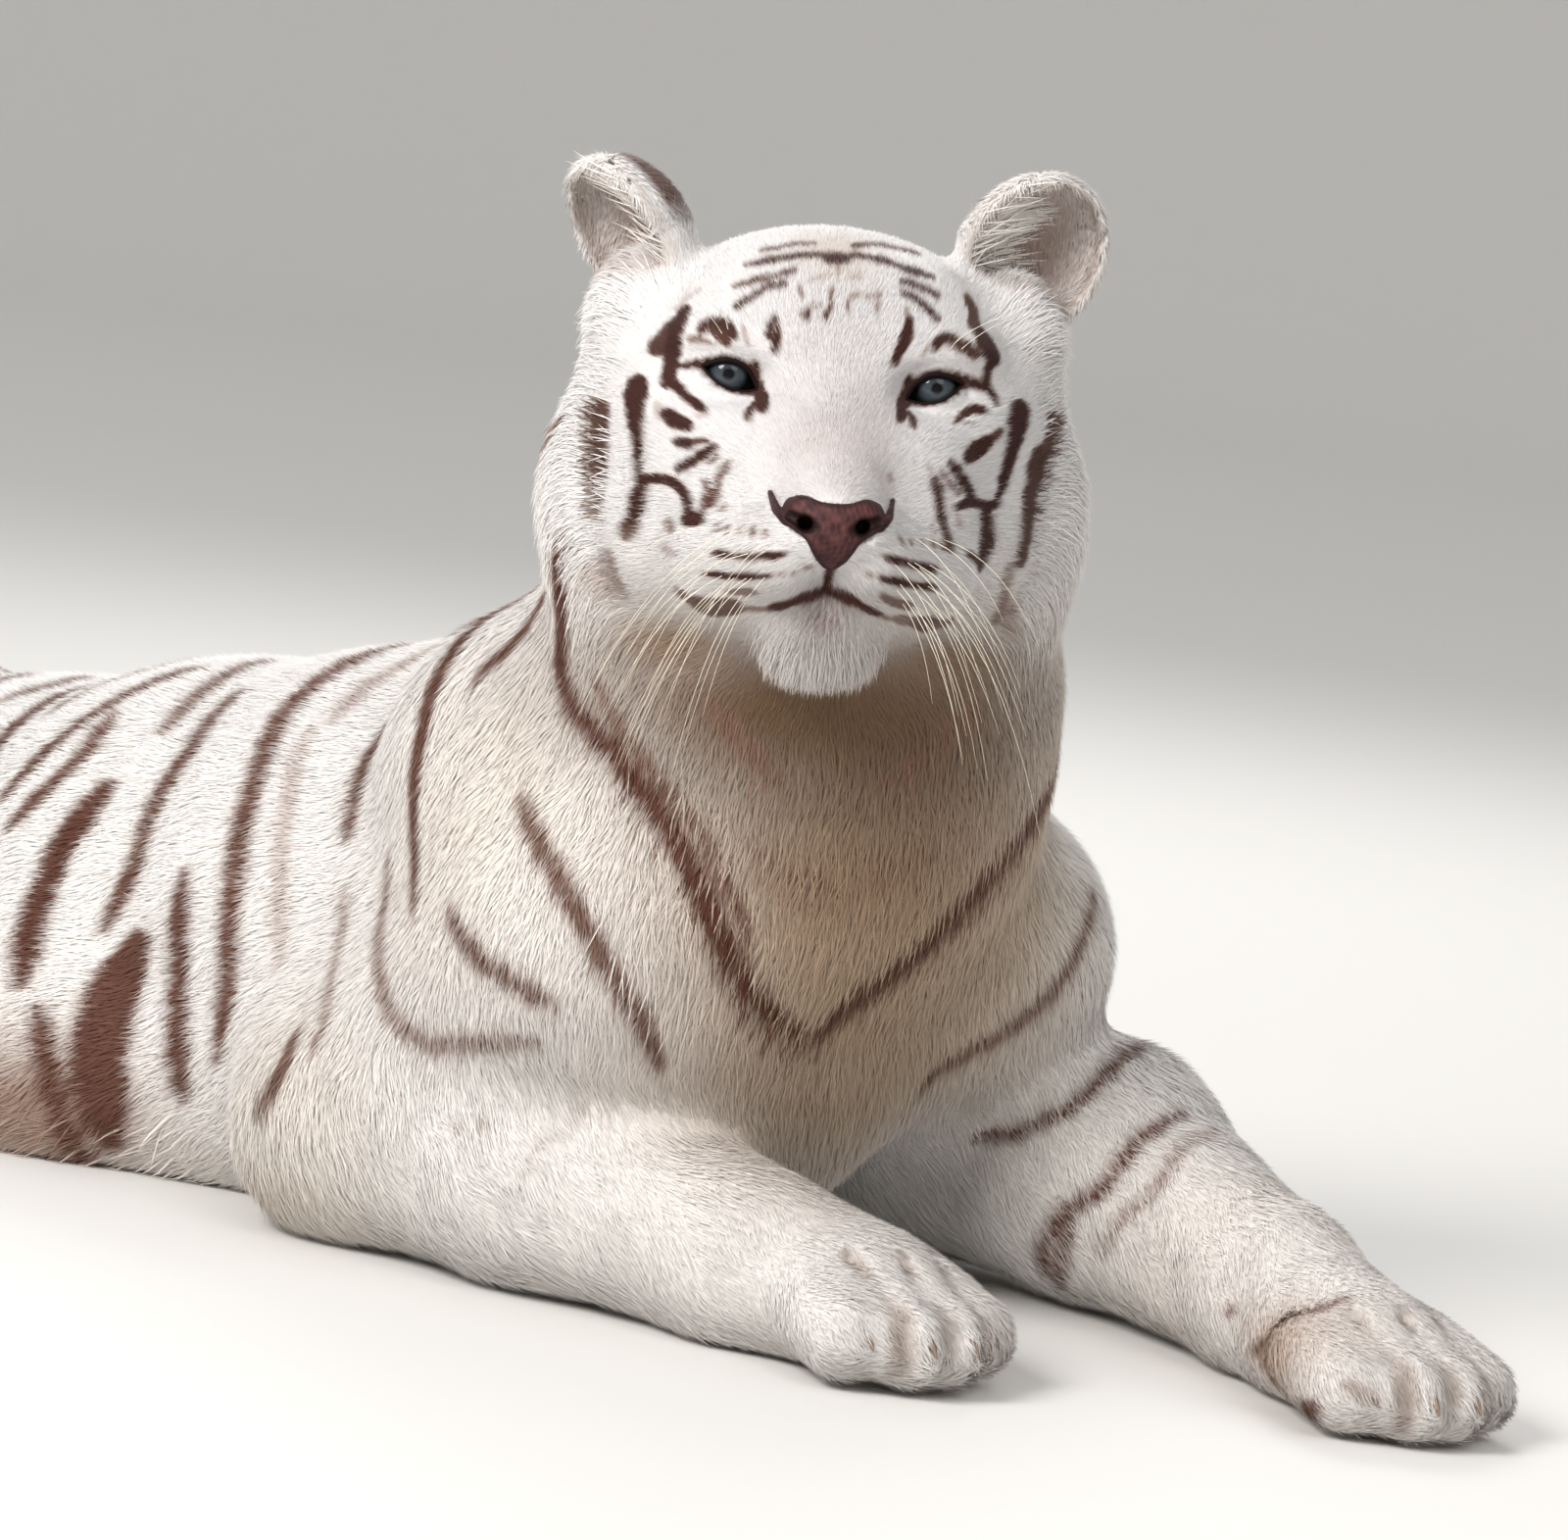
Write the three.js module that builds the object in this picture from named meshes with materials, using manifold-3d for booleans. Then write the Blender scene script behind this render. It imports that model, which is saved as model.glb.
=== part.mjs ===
import * as THREE from 'three';
import Module from 'manifold-3d';

// A white tiger, life size, lying on its breastbone with its head raised and turned to its right.
// Millimetres, +Z up.  The tiger faces -Y, its left side is +X and the floor is z = 0, with the
// origin under the breastbone.  Every outline is the tips of the coat.

const GAP = 0.3; // clearance between neighbouring parts
const BODY_CELL = 60; // facet size on the trunk and neck
const LIMB_CELL = 49; // facet size on the limbs
const TAIL_CELL = 37; // facet size on the tail
const PAW_CELL = 24; // facet size on the four feet
const HEAD_CELL = 19.8; // facet size on the head
const SINK = 5; // how far the underside is pressed flat against the floor
const CLEAN = 0.25; // facets thinner than this are merged away

// ---- sizes of the trunk: stations along the spine (half width, half height about a centre) ----
const TRUNK = [
  { y: -95, z: 185, wide: 150, tall: 138 }, // breast, above the manubrium
  { y: 20, z: 192, wide: 178, tall: 182 }, // shoulders
  { y: 170, z: 182, wide: 194, tall: 184 }, // ribs behind the elbow
  { y: 350, z: 164, wide: 206, tall: 166 }, // last ribs
  { y: 540, z: 146, wide: 192, tall: 142 }, // loin and waist
  { y: 740, z: 138, wide: 172, tall: 132 }, // front of the hips
  { y: 910, z: 156, wide: 150, tall: 140 }, // croup
  { y: 1030, z: 154, wide: 104, tall: 104 }, // rump
];
// the soft belly, spread on the floor to each side
const BELLY = [
  { at: [106, 180, 72], r: 82 },
  { at: [152, 330, 64], r: 93 },
  { at: [140, 570, 60], r: 84 },
];
const WITHERS = { at: [0, 50, 290], radii: [96, 126, 132] };
const BREAST_KEEL = { from: [-6, -150, 128], to: [0, 60, 90], r0: 84, r1: 92 };

// ---- head, in its own frame: origin midway between the eyes, -y forward, +x its left ----
const HEAD_AT = [-169, -304, 601];
const HEAD_TURN = { yaw: -43, pitch: -2.4, roll: -3.2 }; // degrees
const EYE = { x: 62.3, y: 8, z: 0, r: 19 };
const HALF_HEAD_WIDTH = 174; // over the cheek ruff
// each ear is a cup, the back of an ellipsoid's shell, by its middle, how far it leans out and how
// far its opening is turned outwards, degrees
const EAR = { radii: [44, 36, 52], wall: 6, mouth: 6, slant: 0.1, sweep: 0.14 };
const EAR_POSE = {
  left: { at: [125, 84, 84], lean: 34, turn: 27 },
  right: { at: [127, 84, 78], lean: 32, turn: 71 },
};
const SOCKET = { at: [64, -25, -2], radii: [26, 24, 13], turn: 16 }; // hollow between the lids
const NOSE = { half: 36, top: -67, bottom: -110, depth: 30 };

// ---- neck ----
const NECK = [
  { at: [-66, -208, 500], wide: 142, tall: 136 },
  { at: [-50, -196, 415], wide: 158, tall: 152 },
  { at: [-26, -160, 335], wide: 168, tall: 166 },
  { at: [-4, -110, 255], wide: 176, tall: 172 },
];

// ---- limbs: joints with the radius of the limb over the coat ----
const FORELEG = {
  right: {
    blade: { at: [-112, -20, 330], r: 88 },
    shoulder: { at: [-142, -138, 232], r: 104 },
    elbow: { at: [-166, 34, 80], r: 79 },
    forearm: { at: [-148, -120, 80], r: 79 },
    wrist: { at: [-122, -280, 55], r: 56 },
    paw: { at: [-95, -357, 41], heading: -12, long: 96, wide: 66, tall: 44 },
  },
  left: {
    blade: { at: [112, -40, 326], r: 88 },
    shoulder: { at: [152, -172, 226], r: 106 },
    elbow: { at: [220, -66, 98], r: 88 },
    forearm: { at: [230, -262, 94], r: 87 },
    wrist: { at: [186, -456, 56], r: 55 },
    paw: { at: [152, -558, 40], heading: -16, long: 98, wide: 63, tall: 41 },
  },
};
const HINDLEG = {
  hip: { at: [96, 900, 166], r: 116 },
  thigh: { at: [162, 700, 128], r: 112 },
  knee: { at: [206, 468, 104], r: 92 },
  shank: { at: [216, 680, 84], r: 74 },
  hock: { at: [200, 892, 50], r: 49 },
  instep: { at: [228, 690, 38], r: 44 },
  paw: { at: [248, 560, 38], heading: 12, long: 92, wide: 54, tall: 39 },
};
const TOE = { r: 27, spread: 31.5, reach: 60, drop: 6, arc: 22 };

// ---- tail: lies back from the rump and sweeps round to the tiger's left ----
const TAIL = [
  { at: [0, 1046, 150], r: 46 },
  { at: [4, 1116, 92], r: 41 },
  { at: [34, 1176, 42], r: 37 },
  { at: [118, 1222, 32], r: 35 },
  { at: [232, 1228, 30], r: 33 },
  { at: [340, 1180, 29], r: 32 },
  { at: [424, 1090, 28], r: 31 },
  { at: [482, 980, 27], r: 30 },
  { at: [524, 862, 24], r: 26 },
];

const COLOURS = {
  coat: 0xe9e2d8,
  nose: 0x69403e,
  eye: 0x5c6a72,
};

// ---------------------------------------------------------------- solid shapes as distances ----

const V = (a) => new THREE.Vector3(a[0], a[1], a[2]);
const mix = (a, b, t) => a + (b - a) * t;
const rad = THREE.MathUtils.degToRad;
const headMatrix = new THREE.Matrix4()
  .makeRotationFromEuler(
    new THREE.Euler(rad(HEAD_TURN.pitch), rad(HEAD_TURN.roll), rad(HEAD_TURN.yaw), 'ZXY'),
  )
  .setPosition(V(HEAD_AT));
const headInverse = headMatrix.clone().invert();

function smoothMin(a, b, k) {
  const h = Math.max(k - Math.abs(a - b), 0) / k;
  return Math.min(a, b) - h * h * k * 0.25;
}

// shapes joined into flesh that flows from one to the next over about k millimetres
function blend(k, shapes) {
  return (p) => shapes.reduce((d, shape) => (d === null ? shape(p) : smoothMin(d, shape(p), k)), null);
}

function ellipsoid(at, radii, turn = 0) {
  const c = Math.cos(rad(turn));
  const s = Math.sin(rad(turn));
  return (p) => {
    const dx = p.x - at[0];
    const dy = p.y - at[1];
    const x = (dx * c + dy * s) / radii[0];
    const y = (dy * c - dx * s) / radii[1];
    const z = (p.z - at[2]) / radii[2];
    const near = Math.sqrt(x * x + y * y + z * z);
    const slope = Math.hypot(x / radii[0], y / radii[1], z / radii[2]);
    return slope < 1e-9 ? -Math.min(...radii) : (near * (near - 1)) / slope;
  };
}

// a length of limb or trunk with an elliptical section (side to side, and up)
function girth(a, b) {
  const from = V(a.at);
  const along = V(b.at).sub(from);
  const length = along.length();
  const dir = along.clone().divideScalar(length);
  const ref = Math.abs(dir.z) > 0.9 ? new THREE.Vector3(0, 1, 0) : new THREE.Vector3(0, 0, 1);
  const up = ref.addScaledVector(dir, -ref.dot(dir)).normalize();
  const side = new THREE.Vector3().crossVectors(dir, up);
  const q = new THREE.Vector3();
  return (p) => {
    q.copy(p).sub(from);
    const t = Math.min(Math.max(q.dot(dir) / length, 0), 1);
    q.addScaledVector(along, -t);
    const wide = mix(a.wide ?? a.r, b.wide ?? b.r, t);
    const tall = mix(a.tall ?? a.r, b.tall ?? b.r, t);
    const least = Math.min(wide, tall);
    return (Math.hypot(q.dot(side) / wide, q.dot(up) / tall, q.dot(dir) / least) - 1) * least;
  };
}

function chain(stations, k) {
  return blend(k, stations.slice(1).map((station, i) => girth(stations[i], station)));
}

const mirrored = (shape) => (p) => shape({ x: Math.abs(p.x), y: p.y, z: p.z });

// ------------------------------------------------------------------------------- the parts ----

function trunkShape() {
  const stations = TRUNK.map((s) => ({ at: [0, s.y, s.z], wide: s.wide, tall: s.tall }));
  return blend(50, [
    chain(stations, 40),
    mirrored(chain(BELLY, 40)),
    ellipsoid(WITHERS.at, WITHERS.radii),
    girth({ at: BREAST_KEEL.from, r: BREAST_KEEL.r0 }, { at: BREAST_KEEL.to, r: BREAST_KEEL.r1 }),
  ]);
}

// a foot: the pad and knuckles as one block, with four toes fanned at the front
function pawShape({ at, heading, long, wide, tall }, toe = TOE) {
  const a = rad(heading);
  const forward = [Math.sin(a), -Math.cos(a)];
  const across = [Math.cos(a), Math.sin(a)];
  const place = (f, s, z) => [
    at[0] + forward[0] * f + across[0] * s,
    at[1] + forward[1] * f + across[1] * s,
    z,
  ];
  const toes = [-1.5, -0.5, 0.5, 1.5].map((i) => {
    const reach = toe.reach - toe.arc * (Math.abs(i) - 0.5);
    return girth(
      { at: place(reach - 34, i * toe.spread * 0.94, tall + 2), r: toe.r },
      { at: place(reach + 14, i * toe.spread, tall - toe.drop - 4), r: toe.r + 1 },
    );
  });
  const block = girth(
    { at: place(-long * 0.42, 0, tall), wide: wide * 0.88, tall: tall + 2 },
    { at: place(long * 0.22, 0, tall - 3), wide: wide, tall: tall - 2 },
  );
  return blend(14, [block, ...toes]);
}

function forelegShape(leg) {
  const upper = [leg.blade, leg.shoulder, leg.elbow];
  const lower = [leg.elbow, leg.forearm, leg.wrist];
  const pastern = { at: [leg.paw.at[0], leg.paw.at[1], leg.paw.tall + 2], r: leg.paw.tall };
  return blend(34, [chain(upper, 40), chain([...lower, pastern], 26)]);
}

function hindlegShape() {
  const leg = HINDLEG;
  return blend(30, [
    chain([leg.hip, leg.thigh, leg.knee], 40),
    chain([leg.knee, leg.shank, leg.hock], 30),
    chain([leg.hock, leg.instep, { at: leg.paw.at, r: leg.paw.tall }], 24),
  ]);
}

function skullShape() {
  const soft = blend(26, [
    ellipsoid([0, 84, 16], [116, 98, 80]), // cranium
    ellipsoid([0, 34, 18], [92, 50, 54]), // forehead
    mirrored(ellipsoid([114, 88, 26], [38, 48, 52])), // roots of the ears
    mirrored(ellipsoid([86, 54, -34], [58, 58, 60])), // cheek bones
    mirrored(ellipsoid([108, 90, -80], [HALF_HEAD_WIDTH - 108, 58, 94])), // ruff
    mirrored(ellipsoid([84, 36, -92], [52, 56, 58])), // jaw muscles
    girth({ at: [0, 0, -124], wide: 66, tall: 48 }, { at: [0, 110, -128], wide: 96, tall: 56 }), // jaw
  ]);
  const muzzle = blend(26, [
    girth({ at: [0, 6, -2], wide: 45, tall: 30 }, { at: [0, -74, -76], wide: 33, tall: 27 }), // bridge
    mirrored(girth({ at: [25, -74, -106], r: 29 }, { at: [52, -28, -106], r: 42 })), // whisker pads
    girth({ at: [0, -44, -146], wide: 42, tall: 32 }, { at: [0, 30, -144], wide: 78, tall: 44 }), // chin
    ellipsoid([0, -46, -164], [37, 31, 26]), // tuft of the chin
    mirrored(ellipsoid([58, 12, 20], [40, 28, 15])), // brows
    mirrored(ellipsoid([68, 8, -27], [38, 26, 17])), // under the eyes
    mirrored(ellipsoid([48, -8, -58], [45, 44, 40])), // upper jaw
  ]);
  const nose = ellipsoid([0, -92, -86], [31, 20, 23]);
  const face = blend(12, [blend(24, [soft, muzzle]), nose]);
  const socket = mirrored(ellipsoid(SOCKET.at, SOCKET.radii, SOCKET.turn));
  return (p) => -smoothMin(-face(p), socket(p), 10);
}

const trunk = trunkShape();
const neck = chain(NECK, 60);
const skull = skullShape();
const forelegs = [forelegShape(FORELEG.right), forelegShape(FORELEG.left)];
const hindlegs = mirrored(hindlegShape());
const tail = chain(TAIL, 16);
const paws = {
  forepaw_right: pawShape(FORELEG.right.paw),
  forepaw_left: pawShape(FORELEG.left.paw),
};
const hindPaw = mirrored(pawShape(HINDLEG.paw, { r: 23, spread: 23, reach: 53, drop: 8, arc: 15 }));
const inHead = new THREE.Vector3();

const torso = blend(62, [trunk, neck, ...forelegs]);
const rear = blend(40, [torso, hindlegs]);
const withTail = blend(28, [rear, tail]);
const feet = blend(10, [paws.forepaw_right, paws.forepaw_left, hindPaw]);

function tiger(p) {
  const body = smoothMin(withTail(p), feet(p), 24);
  inHead.copy(p).applyMatrix4(headInverse);
  return smoothMin(body, skull(inHead), 40);
}

// ------------------------------------------------------------------- faceting the distances ----

function slope(shape, p) {
  const e = 0.5;
  const q = p.clone();
  const g = ['x', 'y', 'z'].map((k) => {
    q.copy(p)[k] += e;
    const ahead = shape(q);
    q.copy(p)[k] -= e;
    return (ahead - shape(q)) / (2 * e);
  });
  return V(g);
}

// one closed faceted surface where the distance is zero, from a lattice of cells over the box
function facet(shape, box, cell) {
  const n = ['x', 'y', 'z'].map((k) => Math.ceil((box.max[k] - box.min[k]) / cell) + 1);
  const index = (i, j, k) => (k * n[1] + j) * n[0] + i;
  const value = new Float64Array(n[0] * n[1] * n[2]);
  const p = new THREE.Vector3();
  const corner = (i, j, k) => p.set(i, j, k).multiplyScalar(cell).add(box.min);
  for (let k = 0; k < n[2]; k++)
    for (let j = 0; j < n[1]; j++)
      for (let i = 0; i < n[0]; i++) {
        const edge = i * j * k === 0 || i === n[0] - 1 || j === n[1] - 1 || k === n[2] - 1;
        const d = shape(corner(i, j, k));
        value[index(i, j, k)] = edge ? Math.max(d, 0.5 * cell) : d || 1e-6;
      }
  const points = [];
  const pointOf = new Map();
  const centre = new THREE.Vector3();
  const cellPoint = (i, j, k) => {
    const key = index(i, j, k);
    if (pointOf.has(key)) return pointOf.get(key);
    centre.set(0, 0, 0);
    let crossings = 0;
    for (let axis = 0; axis < 3; axis++)
      for (let u = 0; u < 2; u++)
        for (let w = 0; w < 2; w++) {
          const at = [0, 0, 0];
          at[(axis + 1) % 3] = u;
          at[(axis + 2) % 3] = w;
          const end = [...at];
          end[axis] = 1;
          const a = value[index(i + at[0], j + at[1], k + at[2])];
          const b = value[index(i + end[0], j + end[1], k + end[2])];
          if (a < 0 === b < 0) continue;
          const q = corner(i + at[0], j + at[1], k + at[2]);
          q.setComponent(axis, q.getComponent(axis) + (cell * a) / (a - b));
          centre.add(q);
          crossings++;
        }
    centre.divideScalar(crossings);
    for (let step = 0; step < 4; step++) {
      const d = shape(centre);
      const g = slope(shape, centre);
      centre.addScaledVector(g, -Math.max(Math.min(d / g.lengthSq(), cell * 0.3), -cell * 0.3));
    }
    points.push(centre.x, centre.y, centre.z);
    pointOf.set(key, points.length / 3 - 1);
    return points.length / 3 - 1;
  };
  const triangles = [];
  const step = [[1, 0, 0], [0, 1, 0], [0, 0, 1]];
  for (let k = 0; k < n[2] - 1; k++)
    for (let j = 0; j < n[1] - 1; j++)
      for (let i = 0; i < n[0] - 1; i++)
        for (let axis = 0; axis < 3; axis++) {
          const at0 = [i, j, k];
          if (at0[(axis + 1) % 3] === 0 || at0[(axis + 2) % 3] === 0) continue;
          const here = value[index(i, j, k)];
          const d = step[axis];
          const next = value[index(i + d[0], j + d[1], k + d[2])];
          if (here < 0 === next < 0) continue;
          const u = step[(axis + 1) % 3];
          const w = step[(axis + 2) % 3];
          const quad = [[0, 0], [1, 0], [1, 1], [0, 1]].map(([a, b]) =>
            cellPoint(i - a * u[0] - b * w[0], j - a * u[1] - b * w[1], k - a * u[2] - b * w[2]));
          if (here > 0) quad.reverse();
          const at = quad.map((q) => new THREE.Vector3().fromArray(points, q * 3));
          const short = at[0].distanceTo(at[2]) < at[1].distanceTo(at[3]);
          const [a, b, c, e] = short ? quad : [quad[1], quad[2], quad[3], quad[0]];
          triangles.push(a, b, c, a, c, e);
        }
  return { points, triangles };
}

// --------------------------------------------------------------------- joining and cutting ----

const wasm = await Module();
wasm.setup();

function solid({ points, triangles }) {
  const mesh = new wasm.Mesh({
    numProp: 3,
    vertProperties: new Float32Array(points),
    triVerts: new Uint32Array(triangles),
  });
  mesh.merge();
  return new wasm.Manifold(mesh);
}

// a three.js shape, placed, as a cutter
function cutter(geometry, matrix = new THREE.Matrix4()) {
  const position = geometry.applyMatrix4(matrix).getAttribute('position');
  const seen = new Map();
  const points = [];
  const remap = Array.from({ length: position.count }, (_, i) => {
    const v = [position.getX(i), position.getY(i), position.getZ(i)];
    const key = v.map((c) => c.toFixed(3)).join();
    if (!seen.has(key)) {
      seen.set(key, points.length / 3);
      points.push(...v);
    }
    return seen.get(key);
  });
  const index = geometry.index ? [...geometry.index.array] : [...Array(position.count).keys()];
  const triangles = [];
  for (let i = 0; i < index.length; i += 3) {
    const t = [remap[index[i]], remap[index[i + 1]], remap[index[i + 2]]];
    if (new Set(t).size === 3) triangles.push(...t);
  }
  return solid({ points, triangles });
}

// everything on the far side of a plane (through a point, facing a direction), as a big block
function beyond(at, facing, size = 900, back = 0) {
  const dir = V(facing).normalize();
  const box = new THREE.BoxGeometry(size, size, size).translate(0, 0, size / 2 + back);
  const turn = new THREE.Quaternion().setFromUnitVectors(new THREE.Vector3(0, 0, 1), dir);
  return cutter(box, new THREE.Matrix4().compose(V(at), turn, new THREE.Vector3(1, 1, 1)));
}

// a block laid along a length of limb, by half its width, half its depth and what it adds at each end
function block(from, to, across, deep, ends = 0) {
  const dir = V(to).sub(V(from));
  const length = dir.length();
  dir.divideScalar(length);
  const side = new THREE.Vector3().crossVectors(dir, new THREE.Vector3(0, 0, 1)).normalize();
  const up = new THREE.Vector3().crossVectors(side, dir);
  const box = new THREE.BoxGeometry(2 * across, length + 2 * ends, 2 * deep);
  const turn = new THREE.Matrix4().makeBasis(side, dir, up);
  return cutter(box, turn.setPosition(V(from).addScaledVector(dir, length / 2)));
}

function biggest(manifold) {
  return manifold.decompose().sort((a, b) => b.volume() - a.volume())[0];
}

const bounds = (min, max) => new THREE.Box3(V(min), V(max));
const group = new THREE.Group();

function add(name, manifold, colour = COLOURS.coat, roughness = 0.9) {
  const mesh = biggest(manifold).simplify(CLEAN).getMesh();
  const geometry = new THREE.BufferGeometry();
  geometry.setAttribute('position', new THREE.BufferAttribute(new Float32Array(mesh.vertProperties), 3));
  geometry.setIndex([...mesh.triVerts]);
  geometry.computeVertexNormals();
  const part = new THREE.Mesh(
    geometry,
    new THREE.MeshStandardMaterial({ color: colour, roughness, metalness: 0 }),
  );
  part.name = name;
  group.add(part);
}

// everything above the floor
const floor = beyond([0, 200, 0], [0, 0, 1], 3000);
const pressed = (manifold) => manifold.intersect(floor);
const sunk = (p) => tiger(p) - (p.z < 60 ? (SINK * (60 - p.z)) / 60 : 0);

let rest = pressed(solid(facet(sunk, bounds([-420, -760, -70], [620, 1330, 760]), BODY_CELL)));

// takes what lies inside a region off the rest of the body, leaving the clearance between them
function takeOff(name, region, grown) {
  add(name, rest.intersect(region));
  rest = rest.subtract(grown);
}

// the same from a more finely faceted copy of the body, clear of what was taken before
const taken = [];
function takeFine(name, fine, region, grown) {
  add(name, pressed(fine).intersect(taken.reduce((left, before) => left.subtract(before), region)));
  taken.push(grown);
  rest = rest.subtract(grown);
}

// head: faceted in its own frame, so that its two sides match
const fromHead = (shape) => {
  const world = new THREE.Vector3();
  return (p) => shape(world.copy(p).applyMatrix4(headMatrix));
};
const headBox = bounds([-200, -150, -240], [200, 230, 170]);
const toWorld = (manifold) => {
  const m = manifold.getMesh();
  const q = new THREE.Vector3();
  const points = [];
  for (let i = 0; i < m.vertProperties.length; i += 3)
    points.push(...q.fromArray(m.vertProperties, i).applyMatrix4(headMatrix).toArray());
  return solid({ points, triangles: [...m.triVerts] });
};
const headSolid = solid(facet(fromHead(tiger), headBox, HEAD_CELL));
const HEAD_CUT = { at: [0, 78, -45], facing: [0, -0.889, 0.46] }; // behind the jaw and the occiput
const THROAT_CUT = { at: [0, 0, -204], facing: [0, 0, 1] }; // under the chin
const headRegion = (back) =>
  beyond(HEAD_CUT.at, HEAD_CUT.facing, 700, back)
    .intersect(beyond(THROAT_CUT.at, THROAT_CUT.facing, 700, back));

// nose leather: a rounded wedge, wide above and narrow below
function noseWedge(grow) {
  const { half, top, bottom, depth } = NOSE;
  const shape = new THREE.Shape();
  shape.moveTo(-half - grow, top - 7);
  shape.lineTo(-half * 0.62, top + grow);
  shape.lineTo(half * 0.62, top + grow);
  shape.lineTo(half + grow, top - 7);
  shape.lineTo(half * 0.72 + grow, top - 21);
  shape.lineTo(9 + grow, bottom - grow);
  shape.lineTo(-9 - grow, bottom - grow);
  shape.lineTo(-half * 0.72 - grow, top - 21);
  const wedge = new THREE.ExtrudeGeometry(shape, { depth: 60 + grow, bevelEnabled: false });
  wedge.rotateX(Math.PI / 2); // the shape's up becomes the head's up, its depth runs forward
  wedge.translate(0, -112 + depth + grow, 0);
  return cutter(wedge);
}

function ear(side, { at, lean, turn }) {
  const { radii, wall, mouth, slant, sweep } = EAR;
  const mirror = (v) => v.multiply(V([side, 1, 1]));
  const up = V([Math.sin(rad(lean)), sweep, Math.cos(rad(lean))]).normalize();
  const open = V([Math.sin(rad(turn)), -Math.cos(rad(turn)), 0]);
  open.addScaledVector(up, -open.dot(up)).normalize();
  const tip = mirror(up.clone());
  const facing = mirror(open.clone());
  const across = new THREE.Vector3().crossVectors(facing, tip);
  const place = new THREE.Matrix4().makeBasis(across, facing, tip);
  place.setPosition(mirror(V(at)));
  const shell = (extra) => {
    const [a, b, c] = radii.map((r) => r + extra);
    const round = new THREE.SphereGeometry(1, 14, 9).rotateX(Math.PI / 2);
    return cutter(round.scale(a, b, c), place);
  };
  const rim = mirror(V(at)).addScaledVector(facing, mouth);
  const outward = facing.clone().addScaledVector(tip, -slant);
  return shell(wall).subtract(shell(-wall)).subtract(beyond(rim.toArray(), outward.toArray(), 300));
}

const eyeBall = (side, grow) =>
  cutter(new THREE.IcosahedronGeometry(EYE.r + grow, 2).translate(EYE.x * side, EYE.y, EYE.z));

const grownHead = solid(facet((p) => fromHead(tiger)(p) - 1.2, headBox, HEAD_CELL));
let head = headSolid.intersect(headRegion(0));
for (const side of [-1, 1]) head = head.subtract(eyeBall(side, GAP));
add('nose', toWorld(head.intersect(noseWedge(0))), COLOURS.nose, 0.6);
add('head', toWorld(head.subtract(noseWedge(GAP))));
for (const [name, side] of [['left', 1], ['right', -1]]) {
  add(`ear_${name}`, toWorld(ear(side, EAR_POSE[name]).subtract(grownHead)));
  add(`eye_${name}`, toWorld(eyeBall(side, 0)), COLOURS.eye, 0.15);
}
rest = rest.subtract(toWorld(headRegion(-GAP)));

// the body again with finer facets, for the limbs and the tail
const limbs = solid(facet(sunk, bounds([-420, -560, -70], [420, 1080, 440]), LIMB_CELL));

// forelegs: paw, forearm and upper arm in turn
for (const [side, leg] of Object.entries(FORELEG)) {
  const { paw, wrist, elbow, shoulder, blade } = leg;
  const a = rad(paw.heading);
  const heel = [paw.at[0] - Math.sin(a) * paw.long * 0.72, paw.at[1] + Math.cos(a) * paw.long * 0.72, 50];
  const toes = [paw.at[0] + Math.sin(a) * 200, paw.at[1] - Math.cos(a) * 200, 50];
  const near = [paw.at[0] - 150, paw.at[1] - 190, -60];
  const box = bounds(near, [paw.at[0] + 150, paw.at[1] + 140, 180]);
  const foot = (grow) => block(heel, toes, 104, 110, grow);
  takeFine(`forepaw_${side}`, solid(facet(sunk, box, PAW_CELL)), foot(0), foot(GAP));
  const out = side === 'left' ? 1 : -1;
  const bend = [elbow.at[0] + 16 * out, elbow.at[1] + 130, 84];
  const cuff = [wrist.at[0] + 16 * out, wrist.at[1], 60];
  const arm = (grow) => block(bend, cuff, 112 + grow, 112 + grow, 60 + grow);
  takeFine(`forearm_${side}`, limbs, arm(0), arm(GAP));
  const top = [blade.at[0] + 60 * out, blade.at[1] - 40, blade.at[2] - 20];
  const low = [shoulder.at[0] + 80 * out, shoulder.at[1] + 120, 130];
  const upper = (grow) => block(top, low, 96 + grow, 112 + grow, 60 + grow);
  takeFine(`upper_arm_${side}`, limbs, upper(0), upper(GAP));
}

// hind legs: foot, instep and thigh in turn
for (const [side, s] of [['left', 1], ['right', -1]]) {
  const { paw, hock, knee, hip } = HINDLEG;
  const box = bounds([s > 0 ? 120 : -380, 400, -60], [s > 0 ? 380 : -120, 720, 160]);
  const toes = (grow) => block([250 * s, 420, 20], [236 * s, 630, 20], 76 + grow, 56 + grow, grow);
  takeFine(`hind_paw_${side}`, solid(facet(sunk, box, PAW_CELL)), toes(0), toes(GAP));
  const heel = [hock.at[0] * s, 960, 20];
  const foot = (grow) => block([236 * s, 630 + GAP, 20], heel, 66 + grow, 56 + grow, grow);
  takeFine(`hind_foot_${side}`, limbs, foot(0), foot(GAP));
  const croup = [215 * s, hip.at[1] + 60, 160];
  const stifle = [225 * s, knee.at[1] - 60, 120];
  const leg = (grow) => block(croup, stifle, 110 + grow, 140 + grow, 60 + grow);
  takeFine(`thigh_${side}`, limbs, leg(0), leg(GAP));
}

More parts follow.
